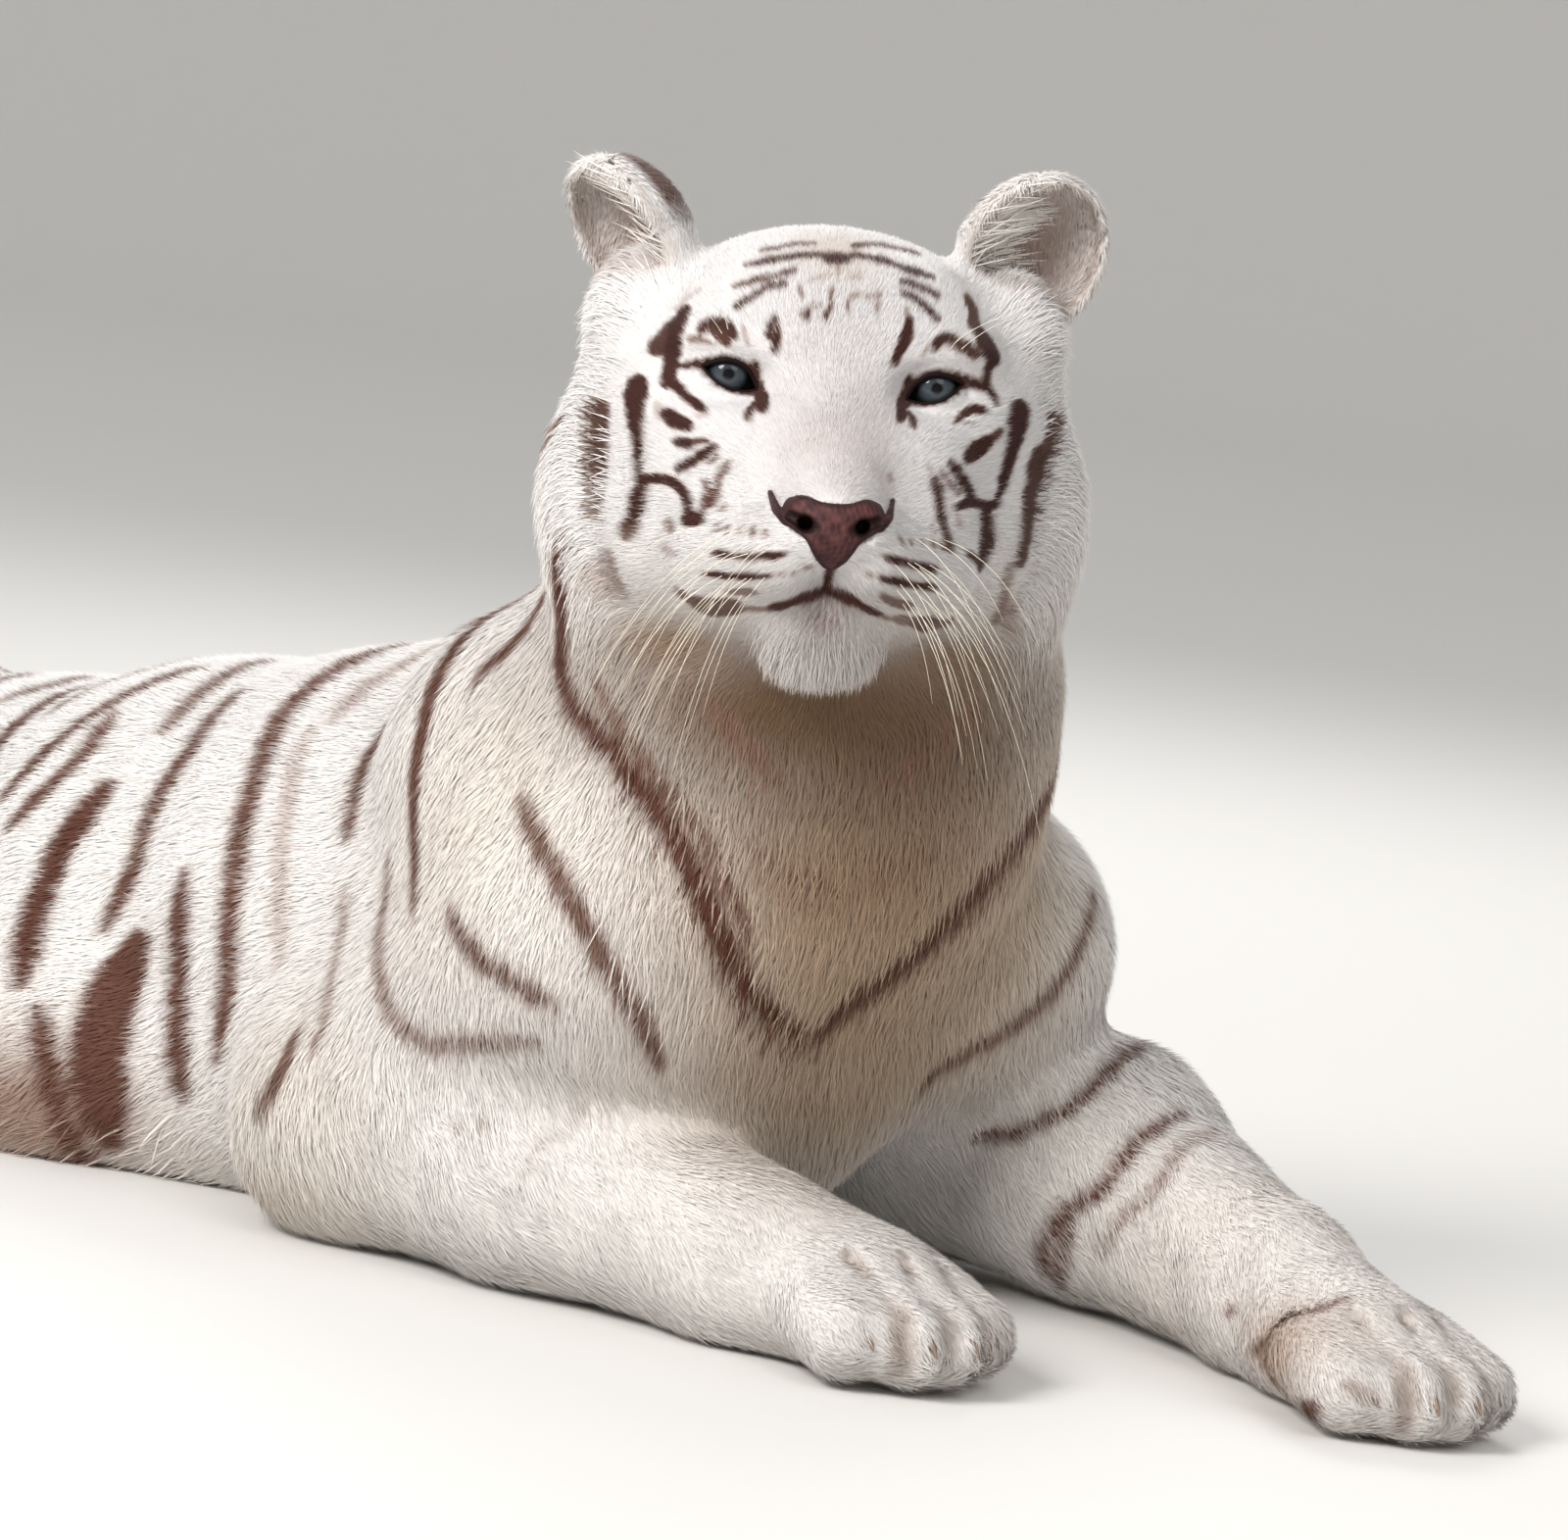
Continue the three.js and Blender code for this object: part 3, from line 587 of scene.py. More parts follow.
def put(name, points, faces):
    """A Blender object from points (3, N) in millimetres and faces, all of one size or in lists."""
    mesh = bpy.data.meshes.new(name)
    corner = np.concatenate([np.asarray(f).ravel() for f in faces]).astype(np.int32)
    sizes = np.concatenate([np.full(len(f), np.asarray(f).shape[1]) for f in faces])
    mesh.vertices.add(points.shape[1])
    mesh.vertices.foreach_set("co", (points.T * MM).astype(np.float32).ravel())
    mesh.loops.add(len(corner))
    mesh.loops.foreach_set("vertex_index", corner)
    mesh.polygons.add(len(sizes))
    mesh.polygons.foreach_set("loop_start", (np.cumsum(sizes) - sizes).astype(np.int32))
    mesh.polygons.foreach_set("loop_total", sizes.astype(np.int32))
    mesh.update(calc_edges=True)
    mesh.validate()
    mesh.shade_smooth()
    piece = bpy.data.objects.new(name, mesh)
    bpy.context.scene.collection.objects.link(piece)
    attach(piece, "root")
    return piece


# ------------------------------------------------------------------------------------ camera ----

LENS, SENSOR = 143.1, 36
CAMERA_AT = (-2.922, -2.873, 0.761)
CAMERA_RIGHT = (0.686, -0.716, 0.126)
CAMERA_UP = (-0.011, 0.164, 0.986)
CAMERA_BACK = (-0.727, -0.678, 0.105)
camera = bpy.data.objects.new("camera", bpy.data.cameras.new("camera"))
bpy.context.scene.collection.objects.link(camera)
bpy.context.scene.camera = camera
camera.data.sensor_width = SENSOR
camera.data.lens = LENS
right, up, back = (Vector(v) for v in (CAMERA_RIGHT, CAMERA_UP, CAMERA_BACK))
up = back.cross(right).normalized()
right = up.cross(back).normalized()
turn = Matrix((right, up, back.normalized())).transposed()
camera.matrix_world = Matrix.Translation(CAMERA_AT) @ turn.to_4x4()

# ---------------------------------------------------------------------------------- the skin ----

SKIN_CELL = 8.6  # side of a lattice cell away from the face
points, quads = surface(skin, (-600, -850, -330), (740, 1600, 990), SKIN_CELL, magnify)
skin_piece = put("skin", points, [quads])


# ---------------------------------------------------------------------------------- markings ----
# Each stripe is a line on the body: its width in millimetres, how dark it is, and its points, in
# one of three views.  face: across and up from between the eyes.  flank: back along the spine and
# down the side from the ridge of the back.  neck: degrees round it from the front, and height.

BODY_WIDER, BODY_EXTRA = 1.6, 3.0  # stripes of the body are so much wider than listed
FACE_STRIPES = [
    # crown and brow, from the viewer's left
    (3, 0.85, [(-47, 78.5), (-36, 81), (-25, 84), (-14, 85)]),
    (3.8, 0.95, [(-57, 68), (-39, 73), (-24, 77), (-8, 78), (0, 76)]), (8, 1.0, [(-6, 77), (4, 77)]),
    (3.4, 0.85, [(-64, 54), (-53, 58.7), (-43, 62), (-34, 65), (-27, 67)]),
    (3.6, 0.95, [(-62, 42), (-57, 47), (-51, 50.5), (-46, 54.7), (-40, 57), (-33, 58.5)]),
    (3.8, 0.9, [(10, 85), (20, 87), (27, 87), (36, 86), (46, 84.5), (53, 83)]),
    (4.6, 1.0, [(4, 78), (13, 79), (21, 78.4), (29, 77.3), (36, 75), (46, 72), (53, 70.4), (60, 69)]),
    (4.2, 0.9, [(40, 65), (49, 63.5), (57, 60.5), (62, 58)]),
    (4.4, 0.95, [(39, 58), (48, 55.5), (55, 51), (59, 47), (62, 44)]),
    (3, 0.6, [(-24, 58), (-22, 50)]), (3.5, 0.9, [(-18, 44.5), (-19, 38)]),
    (3, 0.7, [(-22, 40), (-17, 45), (-10, 47.5)]), (3.5, 0.75, [(-4, 57), (-5, 50)]),
    (3.5, 0.9, [(-4, 47), (-8, 40)]), (3, 0.35, [(-20, 62), (-5, 66)]), (3, 0.4, [(8, 66), (13, 65)]),
    (2.6, 0.65, [(9, 54), (15, 55)]), (2.6, 0.65, [(17, 54), (26, 56)]), (2.8, 0.75, [(6, 51), (6, 46)]),
    (2.6, 0.6, [(24, 51), (24, 46)]), (3, 0.5, [(0, 72), (-1, 64)]),
    (5, 1.0, [(-38, 37), (-41, 30), (-42, 26)]), (5, 1.0, [(-36.5, 31), (-37, 24), (-38, 16)]),
    (3, 0.6, [(-57, 30), (-56, 24), (-54, 19)]), (3, 0.6, [(42, 48), (44, 42)]),
    (6, 1.0, [(44, 41), (43.5, 34), (41, 27), (38, 20), (36, 15)]), (3, 0.5, [(56, 26), (53, 20)]),
    # over and beside the eyes
    (6, 0.95, [(-82, 27), (-79, 32), (-73, 34), (-67, 31), (-62, 24)]),
    (7, 0.9, [(-75, 31), (-71, 24), (-66, 19)]), (4, 0.75, [(-90, 20), (-84, 20), (-76, 18)]),
    (7.5, 0.9, [(70, 32), (78, 29), (86, 24)]), (5, 0.95, [(60, 25), (63, 31), (67, 34), (72, 34)]),
    (3.4, 0.55, [(70, 27), (80, 23)]),
    (9, 1.0, [(-93, 39), (-97, 29), (-100, 18), (-101, 8), (-102, -6)]),
    (13, 0.9, [(-98, 30), (-104, 20), (-110, 15)]), (2.5, 0.35, [(-84, 52), (-92, 46), (-98, 40)]),
    (7.5, 0.85, [(83, 58), (87, 50), (87, 42), (91, 35)]), (13, 1.0, [(92, 36), (96, 29), (100, 22)]),
    (6, 0.95, [(98, 22), (97.5, 14), (98.5, 6)]),
    (4.4, 0.95, [(-80, 6), (-90, 4), (-100, 3)]),
    (4.6, 1.0, [(72, 10), (76, 8.5), (84, 6), (92, 4), (100, 3), (104, -5)]),
    (5.5, 1.0, [(-99, -5), (-91, -11), (-84, -16), (-79, -19)]),
    (4, 0.95, [(76, -15), (82, -10.5), (90, -7)]), (7, 1.0, [(88, -8), (95, -9)]),
    (2.6, 0.5, [(82, -17), (88, -17)]), (2.6, 0.4, [(-82, -24), (-76, -23)]),
    (7.5, 1.0, [(-50, 0), (-46, -8), (-44, -15)]), (4.5, 0.95, [(-50, -9), (-52, -17), (-53, -23)]),
    (7, 1.0, [(49, -1), (45, -8), (42, -15)]), (4.5, 0.95, [(49, -8), (50, -13), (50, -20)]),
    (9, 1.0, [(86, -38), (93, -34.5), (98, -29)]), (4.6, 0.85, [(98, -29), (107, -22)]),
    (8.5, 1.0, [(-101, -26), (-96, -29), (-89, -31)]), (7, 1.0, [(-94, -42), (-88, -42)]),
    (3.6, 0.85, [(-88, -41.5), (-78, -39)]), (5.4, 1.0, [(-93, -58), (-85, -53), (-78, -47.5), (-72, -43)]),
    (4, 0.9, [(-74.5, -52.5), (-70, -48)]), (4, 0.4, [(-107, -18), (-106, -27)]),
    # cheeks
    (15, 1.0, [(-120, -9), (-121, -20)]), (10, 1.0, [(-121, -20), (-121, -34)]),
    (7, 1.0, [(-121, -30), (-119, -46)]), (5, 1.0, [(-119.5, -42), (-118, -54), (-116, -64)]),
    (5.4, 1.0, [(-117, -66), (-108, -65), (-100, -65), (-94, -67), (-89, -72), (-87, -80), (-86, -88)]),
    (9, 1.0, [(-114, -69), (-116, -80), (-118, -91)]), (9, 0.85, [(-117, -88), (-121, -102)]),
    (8, 1.0, [(-87, -87.5), (-79, -86.5)]), (4.6, 0.85, [(-79, -86), (-76, -78), (-75, -70), (-76, -64)]),
    (4.6, 0.85, [(-73, -77), (-70, -68), (-69, -61)]), (3.4, 0.8, [(-70, -63), (-66, -56), (-63, -51)]),
    (2.6, 0.7, [(-67, -80), (-64, -76.5)]), (5, 0.7, [(-98, -90), (-95, -95)]),
    (5, 0.4, [(-100, -107), (-93, -109)]), (11, 0.85, [(-141, -24), (-142, -46)]),
    (10, 0.85, [(-142, -44), (-143, -70)]), (7, 0.75, [(-143, -66), (-144, -92)]),
    (6, 0.65, [(-133, -116), (-128, -132), (-122, -144)]), (11, 0.4, [(-140, -126), (-132, -140)]),
    (16, 1.0, [(120, -9), (119, -17)]), (11.5, 1.0, [(119, -14), (117, -31)]),
    (8, 1.0, [(117, -28), (115, -42), (112, -53)]), (5, 1.0, [(113, -50), (109, -62), (106, -68)]),
    (5.6, 1.0, [(79, -69), (89, -66), (99, -67.5), (106, -67)]),
    (6.4, 1.0, [(74, -43), (80, -50), (86, -57), (91, -65)]),
    (3.2, 0.75, [(68, -47), (71, -52), (76, -57), (80, -61)]), (3.4, 0.65, [(80, -73), (81, -80)]),
    (9.5, 1.0, [(100, -69), (102, -80), (102, -92), (99, -105)]), (4.6, 0.9, [(89, -97), (95, -102)]),
    (3, 0.5, [(57, -42), (63, -51)]), (5.4, 0.95, [(64, -53), (67, -62), (69.5, -73), (72, -84)]),
    (6.4, 0.9, [(72, -82), (75.5, -94)]), (4, 0.5, [(37, -52), (37.5, -54)]),
    (2.4, 0.55, [(64, -79), (66, -84)]), (14, 0.9, [(136, -36), (135, -54)]),
    (11, 0.9, [(135, -48), (133, -62), (132, -79)]), (9, 0.9, [(132, -75), (130, -90), (127, -103)]),
    (7, 0.6, [(120, -105), (118, -117)]), (9, 0.85, [(145, -12), (143, -28), (139, -39)]),
    (8, 0.7, [(119, -125), (121, -134), (119, -143)]), (9, 0.45, [(127, -132), (129, -146)]),
    # rows on the whisker pads
    (3.8, 1.0, [(-70, -106), (-57, -107), (-44, -105.5), (-29, -103)]),
    (3.8, 1.0, [(-74, -120), (-63, -120), (-50, -120), (-37, -117.5)]),
    (2.6, 0.7, [(-30, -116), (-27, -116)]),
    (2.6, 0.7, [(-22, -114.5), (-20, -114)]), (2.6, 0.7, [(-14, -112), (-12, -111.5)]),
    (4.6, 1.0, [(34, -101.5), (43, -103), (53, -105), (66, -107)]),
    (4.6, 1.0, [(32, -114), (43, -116), (55, -118), (67, -119)]), (3, 0.6, [(22, -112), (25, -112.5)]),
    (5, 0.75, [(34, -126), (42, -130), (54, -132)]), (4, 0.7, [(-58, -130), (-44, -129)]),
    # the groove below the nose, the lips and their dark corners
    (6, 1.0, [(0, -108), (0, -127)]), (9, 1.0, [(-3, -127), (3, -127)]),
    (7.5, 1.0, [(-2, -127), (-11, -130.5), (-18, -133.5)]),
    (5, 0.95, [(-16, -132.5), (-26, -137), (-35, -139.5)]),
    (3, 0.7, [(-33, -139), (-42, -140.5), (-52, -141)]),
    (7.5, 1.0, [(2, -127), (11, -129.5), (18, -132.5)]), (5, 0.95, [(16, -131.5), (26, -136), (35, -139)]),
    (3, 0.7, [(33, -138.5), (42, -141), (52, -142)]),
    (12, 0.8, [(-86, -136), (-76, -142), (-64, -142), (-54, -141)]),
    (6, 0.7, [(46, -141), (58, -143)]), (11, 0.8, [(60, -143), (72, -145), (84, -144)]),
]
PAD_DOTS = [(-69, -88.5, -91), (-63, -89, -92), (-56, -89, -92), (-49, -89, -92), (-42, -89, -92),
            (44, -89, -92), (50, -89, -92), (57, -89.5, -92), (64, -90, -93), (70, -91, -94)]
FACE_STRIPES += [(2.6, 0.8, [(x, top), (x + 0.5, foot)]) for x, top, foot in PAD_DOTS]
FLANK_STRIPES = [
    (6, 0.8, [(521, 122), (516, 66), (524, 20)]), (7, 0.8, [(436, 146), (437, 109), (410, 60), (398, 16)]),
    (7, 0.85, [(400, 226), (384, 189), (370, 140), (354, 66)]),
    (7, 0.85, [(374, 244), (352, 210), (342, 180), (352, 146)]),
    (13, 0.95, [(304, 322), (319, 284), (316, 247), (302, 200)]),
    (7, 0.8, [(294, 150), (308, 98), (330, 22)]),
    (8, 0.85, [(262, 286), (249, 245), (254, 201), (252, 166), (268, 100)]),
    (9, 0.85, [(150, 350), (143, 290), (150, 234), (168, 172), (188, 126), (194, 60), (196, 14)]),
    (10, 0.9, [(178, 380), (188, 317), (196, 243)]),
    (24, 0.9, [(230, 292), (239, 324), (238, 359), (231, 405)]),
    (9, 0.9, [(282, 336), (262, 380), (256, 430)]),
    (5, 0.45, [(97, 280), (112, 227), (129, 187), (153, 136)]),
    (6, 0.55, [(142, 124), (148, 87), (136, 40)]), (8, 0.85, [(70, 196), (86, 152), (90, 100), (98, 24)]),
    (4, 0.6, [(58, 226), (41, 252), (6, 297), (5, 316)]),
    (7, 0.85, [(-66, 237), (-25, 189), (-14, 150), (-4, 90), (10, 24)]),
    (5, 0.7, [(12, 206), (-18, 248), (-48, 274), (-70, 292), (-98, 298), (-178, 284)]),
    (6, 0.8, [(-108, 232), (-140, 249), (-173, 257), (-197, 263)]),
    (6, 0.8, [(30, 306), (27, 325), (39, 352)]),
    # behind the ribs, over the haunch and down the thigh
    (10, 0.9, [(480, 330), (470, 262), (462, 190), (478, 96), (470, 18)]),
    (13, 0.9, [(408, 352), (424, 312), (420, 262)]), (9, 0.85, [(548, 300), (532, 232), (540, 170)]),
    (9, 0.9, [(590, 348), (582, 280), (590, 210), (574, 120), (586, 22)]),
    (10, 0.9, [(640, 330), (634, 262), (650, 190)]), (8, 0.85, [(632, 150), (642, 90), (634, 16)]),
    (11, 0.95, [(704, 352), (690, 290), (700, 222), (694, 140), (706, 20)]),
    (10, 0.9, [(756, 340), (748, 270), (760, 200)]), (8, 0.85, [(752, 160), (764, 96), (758, 18)]),
    (12, 0.95, [(816, 350), (806, 282), (818, 214), (812, 130), (824, 20)]),
    (9, 0.9, [(868, 330), (862, 262), (872, 196), (876, 110), (884, 24)]),
    (11, 0.95, [(924, 330), (916, 262), (926, 190), (938, 110), (948, 22)]),
    (9, 0.9, [(980, 290), (976, 210), (990, 120), (1004, 24)]),
    (8, 0.85, [(1034, 240), (1040, 160), (1052, 60)]), (8, 0.8, [(528, 388), (518, 352)]),
    (9, 0.8, [(350, 420), (344, 380)]), (9, 0.8, [(448, 410), (438, 372)]),
]
NECK_STRIPES = [
    (8, 0.95, [(-87, 480), (-85, 451), (-83, 404), (-73, 376), (-62, 357), (-54, 334), (-47, 309), (-41, 275),
               (-37, 247), (-32, 218), (-26, 195), (-19, 181)]),
    (4, 0.75, [(-70, 396), (-60, 366), (-53, 347), (-45, 320), (-41, 302), (-37, 276), (-33, 249)]),
    (10, 0.9, [(52, 440), (40, 392), (24, 353), (14, 332), (5, 304), (-3, 269), (-9, 237), (-14, 213),
               (-18, 186)]),
    (6, 0.6, [(-47, 396), (-40, 370), (-34, 352)]), (6, 0.6, [(-4, 412), (-13, 380), (-19, 358)]),
    (5, 0.55, [(-36, 306), (-29, 292), (-21, 288)]), (5, 0.55, [(-20, 312), (-15, 303), (-9, 310)]),
    (6, 0.8, [(-76, 320), (-60, 268), (-52, 229), (-45, 190), (-41, 158)]),
    (7, 0.85, [(-104, 560), (-112, 500), (-108, 440), (-112, 380)]),
    (7, 0.85, [(-140, 590), (-146, 520), (-138, 450), (-146, 390)]),
    (7, 0.85, [(-176, 610), (-170, 540), (-180, 470), (-172, 400)]),
    (7, 0.85, [(150, 600), (142, 530), (150, 460), (140, 390)]),
    (7, 0.85, [(116, 570), (108, 500), (116, 430), (104, 360)]),
    (7, 0.85, [(84, 520), (78, 460), (84, 400), (74, 340)]), (6, 0.7, [(58, 440), (50, 400), (56, 350)]),
]
# on the legs: points in the part's own frame
LEG_STRIPES = [
    (7, 0.9, [(206, -350, 152), (160, -344, 130), (143, -341, 103), (140, -308, 74), (150, -286, 42),
              (160, -280, 16)]),
    (6, 0.9, [(141, -316, 70), (160, -300, 36), (177, -286, 12)]),
    (7, 0.85, [(186, -262, 276), (164, -285, 251), (136, -288, 213), (104, -276, 181), (66, -258, 153),
               (66, -249, 138)]),
    (7, 0.85, [(249, -277, 185), (186, -297, 170), (156, -293, 144), (140, -266, 122), (133, -230, 104)]),
    (5, 0.65, [(220, -372, 145), (172, -374, 133), (147, -379, 108), (138, -357, 79), (142, -340, 54)]),
    (3, 0.3, [(-187, -198, 137), (-214, -175, 100), (-219, -170, 82)]),
    (5, 0.5, [(-232, -122, 103), (-228, -128, 106)]), (5, 0.5, [(-228, -137, 111), (-225, -142, 112)]),
    (7, 0.7, [(312, -240, 110), (300, -250, 70), (290, -256, 30)]),
    (8, 0.7, [(316, -150, 120), (306, -156, 70), (296, -150, 26)]),
    (7, 0.6, [(-70, -220, 70), (-74, -230, 40)]), (7, 0.6, [(-90, -120, 60), (-92, -124, 30)]),
    (5, 0.8, [(124, -560, 84), (106, -553, 72), (101, -540, 58), (100, -520, 42), (108, -500, 26)]),
    (7, 0.55, [(96, -536, 34), (100, -510, 22)]), (7, 0.75, [(122, -476, 52), (122, -468, 46)]),
    (12, 0.85, [(78, -592, 24), (84, -578, 12)]), (5, 0.6, [(78, -604, 34), (86, -622, 30)]),
]


def to_surface(shape, start, way, reach):
    """Walks points along a direction until they meet a shape."""
    t = np.zeros(start.shape[1], np.float32)
    for _ in range(60):
        t = np.minimum(t + 0.8 * shape(start + way * t), reach)
    return start + way * t


def on_face(rows):
    """Points of the face's view, carried back onto the head."""
    q = np.array([[x, -330, z] for x, z in rows], np.float32).T
    return to_surface(outline, from_head(q), HEAD_BACK, 480)


BARREL = 190  # radius of the round that the flank's points lie on


def on_flank(rows, side):
    """Points along the spine and down a side, carried in onto the body."""
    y, a = np.array(rows, np.float32).T
    a = a / BARREL
    out = np.stack([side * np.sin(a), 0 * a, np.cos(a)])
    middle = np.stack([0 * y, y, 0 * y + 150])
    return to_surface(outline, middle + out * 330, -out, 330)


def on_neck(rows):
    """Points round the neck and up it, carried in onto it."""
    a, z = np.array(rows, np.float32).T
    a = np.radians(a)
    out = np.stack([np.sin(a), -np.cos(a), 0 * a])
    lean = (z - 255) / 245
    middle = np.stack([-4 - 62 * lean, -60 - 98 * lean, z])
    return to_surface(outline, middle + out * 300, -out, 300)


def stroke(points, width, shade, step=9.0, taper=0.45):
    """A stripe as closely spaced points on the skin, its half widths tapering at both ends."""
    gaps = np.linalg.norm(np.diff(points, axis=1), axis=0)
    along = np.concatenate([[0], np.cumsum(gaps)])
    count = max(int(along[-1] / step) + 1, 2)
    at = np.linspace(0, along[-1], count)
    line = np.stack([np.interp(at, along, points[i]) for i in range(3)]).astype(np.float32)
    line, _ = settle(skin, line, 3, 8.0)
    ends = np.minimum(at, along[-1] - at) / (0.6 * width + 0.12 * along[-1] + 1e-3)
    half = width / 2 * (1 - taper + taper * np.clip(1.3 * ends, 0, 1) ** 0.7)
    return line, half.astype(np.float32), shade


def all_stripes():
    """Every stripe of the face, then of the body, and how many are the face's."""
    made = [stroke(on_face(rows), 1.12 * w + 0.6, s, 5.0, 0.2) for w, s, rows in FACE_STRIPES]
    made = [(face_view(to_head(line)), half, s) for line, half, s in made]
    dark = len(made)
    for side in (-1, 1):
        for i, (w, s, rows) in enumerate(FLANK_STRIPES):
            shift = 0 if side < 0 else 14 * math.sin(7.3 * i)
            longer = 1 if side < 0 else 1 + 0.04 * math.sin(3.1 * i)
            moved = [(y + shift, a * longer) for y, a in rows]
            made.append(stroke(on_flank(moved, side), (w + BODY_EXTRA) * BODY_WIDER, s))
    made += [stroke(on_neck(rows), (w + BODY_EXTRA) * BODY_WIDER, s) for w, s, rows in NECK_STRIPES]
    made += [stroke(np.array(rows, np.float32).T, w * BODY_WIDER, s) for w, s, rows in LEG_STRIPES]
    return made, dark


def ripple(p, size, seed):
    """A smooth, even wobble between about -1 and 1."""
    r = np.random.default_rng(seed)
    total = 0
    for _ in range(4):
        way = r.normal(size=3).astype(np.float32)
        way *= 6.283 / size / np.linalg.norm(way)
        total = total + np.sin(way @ p + r.uniform(0, 6.28))
    return total / 2.4


def face_view(q):
    """The head's frame flattened, so that a stripe reaches through the fur of the face."""
    return np.stack([q[0], q[1] * 0.35, q[2]])


def stripe_shade(p):
    """How dark the markings are at points: for the face and for the body."""
    shades = [np.zeros(p.shape[1], np.float32), np.zeros(p.shape[1], np.float32)]
    wobble = 0.9 * ripple(p, 18, 3) + 0.6 * ripple(p, 7, 4)
    body_place, face_place = p, face_view(to_head(p))
    for i, (line, half, shade) in enumerate(STRIPES):
        p = face_place if i < FACE_STRIPE_COUNT else body_place
        pad = half.max() + 6
        lo, hi = line.min(1) - pad, line.max(1) + pad
        pick = np.flatnonzero(((p > lo[:, None]) & (p < hi[:, None])).all(0))
        if not len(pick):
            continue
        q = p[:, pick]
        best = np.full(len(pick), 99.0, np.float32)
        for a, b, ra, rb in zip(line.T, line.T[1:], half, half[1:]):
            t, off = beside(q, a, b)
            best = np.minimum(best, np.sqrt((off * off).sum(0)) - ra - (rb - ra) * t)
        kind = 0 if i < FACE_STRIPE_COUNT else 1
        edge, sway = (0.8, 0.6) if kind == 0 else (2.2, 1.2)
        level = shade * np.clip(0.5 - (best + sway * wobble[pick]) / (2 * edge), 0, 1)
        shades[kind][pick] = np.maximum(shades[kind][pick], level)
    return shades


def tail_place(p):
    """Distance from the tail's middle line, and how far along the tail."""
    best, at, start = np.full(p.shape[1], 1e3, np.float32), np.zeros(p.shape[1], np.float32), 0.0
    for (a, _), (b, _) in zip(TAIL, TAIL[1:]):
        length = math.dist(a, b)
        t, off = beside(p, a, b)
        off = np.linalg.norm(off, axis=0)
        near_here = off < best
        best = np.where(near_here, off, best)
        at = np.where(near_here, start + t * length, at)
        start += length
    return best, at


STRIPES, FACE_STRIPE_COUNT = all_stripes()

WHITE = np.array([0.83, 0.80, 0.775])
DARK = np.array([0.048, 0.016, 0.012])
BROWN = np.array([0.115, 0.043, 0.029])
FADED = np.array([0.30, 0.175, 0.125])
EAR_BOWL, EAR_RIM, EAR_HAIR = (0.37, 0.26, 0.21), (0.42, 0.31, 0.25), (0.78, 0.735, 0.69)
# brownish painted shade for the creases between the toes
TOE_CREASE_SHADE = (0.30, 0.21, 0.155)
# soft tints: where, how far, colour, strength; the first group in the head's own frame
HEAD_TINTS = [
    ((0, 10, -30), (160, 170, 125), (0.67, 0.655, 0.66), 0.85),  # the face is a little cooler
    ((0, -50, -40), (40, 60, 52), (0.58, 0.52, 0.50), 0.8),  # bridge of the nose
    ((0, 0, 30), (44, 60, 36), (0.62, 0.59, 0.58), 0.6),
    # throat under the chin: tan fur darkened with painted shadow
    ((0, 40, -200), (130, 130, 46), (0.17, 0.10, 0.055), 0.97),  # throat under the chin
    # under side of the whisker pads, painted darker: painted shade
    ((0, -76, -122), (66, 50, 16), (0.50, 0.475, 0.47), 0.6),  # under side of the whisker pads
    # beside it under the jaw: tan fur darkened with painted shadow
    ((84, 30, -166), (36, 70, 17), (0.24, 0.15, 0.085), 0.8),
    ((-84, 30, -166), (36, 70, 17), (0.24, 0.15, 0.085), 0.8),
    ((0, 20, 84), (26, 40, 22), (0.52, 0.41, 0.31), 0.5),  # crown
    ((0, -72, -158), (46, 34, 24), (0.58, 0.55, 0.53), 0.9),  # chin
    ((0, -86, -146), (26, 18, 14), (0.28, 0.25, 0.235), 0.75),
]
BODY_TINTS = [
    ((0, 500, 180), (400, 460, 200), (0.90, 0.87, 0.845), 0.9),  # flank and back
    # breast and lower breast: buff, soiled fur, partly painted shade under the head
    ((-70, -300, 270), (125, 110, 120), (0.54, 0.39, 0.275), 0.9),  # breast
    ((-20, -250, 170), (110, 90, 90), (0.50, 0.37, 0.25), 0.85),
    ((-226, -100, 320), (60, 100, 130), (0.80, 0.72, 0.63), 0.5),  # shoulder
    ((60, -280, 300), (90, 90, 150), (0.48, 0.36, 0.24), 0.8),
    # front of the neck and throat: tan fur, darkened toward the chin by painted shadow
    ((-95, -310, 330), (95, 110, 80), (0.36, 0.24, 0.15), 0.85),
    ((-108, -310, 405), (108, 120, 70), (0.165, 0.10, 0.056), 0.97),  # throat
    ((74, -200, 400), (70, 110, 110), (0.64, 0.59, 0.55), 0.6),  # far side of the neck
    ((-200, 20, 90), (60, 70, 60), (0.70, 0.60, 0.48), 0.5),  # elbow
    ((-190, 40, 30), (60, 60, 24), (0.62, 0.50, 0.37), 0.5),
    ((-225, 470, 60), (60, 130, 60), (0.46, 0.29, 0.18), 0.6),  # soiled fur low on the flank
    ((-226, 285, 30), (60, 80, 46), (0.27, 0.14, 0.085), 0.85),
    ((225, 470, 60), (60, 130, 60), (0.50, 0.34, 0.22), 0.4),
    ((-60, -280, 66), (70, 70, 50), (0.72, 0.62, 0.52), 0.5),  # wrists
    ((190, -420, 60), (60, 90, 60), (0.74, 0.64, 0.55), 0.45),
    ((-100, -390, 60), (90, 90, 70), (0.66, 0.62, 0.59), 0.6),  # forepaws
    ((150, -590, 50), (90, 90, 70), (0.70, 0.65, 0.61), 0.6),
    ((96, -540, 40), (32, 46, 30), (0.40, 0.25, 0.155), 0.7),  # stained toes
    ((-50, -380, 30), (30, 50, 26), (0.60, 0.50, 0.42), 0.6),
    ((0, 420, 10), (200, 400, 40), (0.66, 0.56, 0.44), 0.4),  # belly
]


def toward(colour, tint, share):
    """A colour moved some share of the way to another."""
    return colour + (np.reshape(tint, (3, -1)) - colour) * share


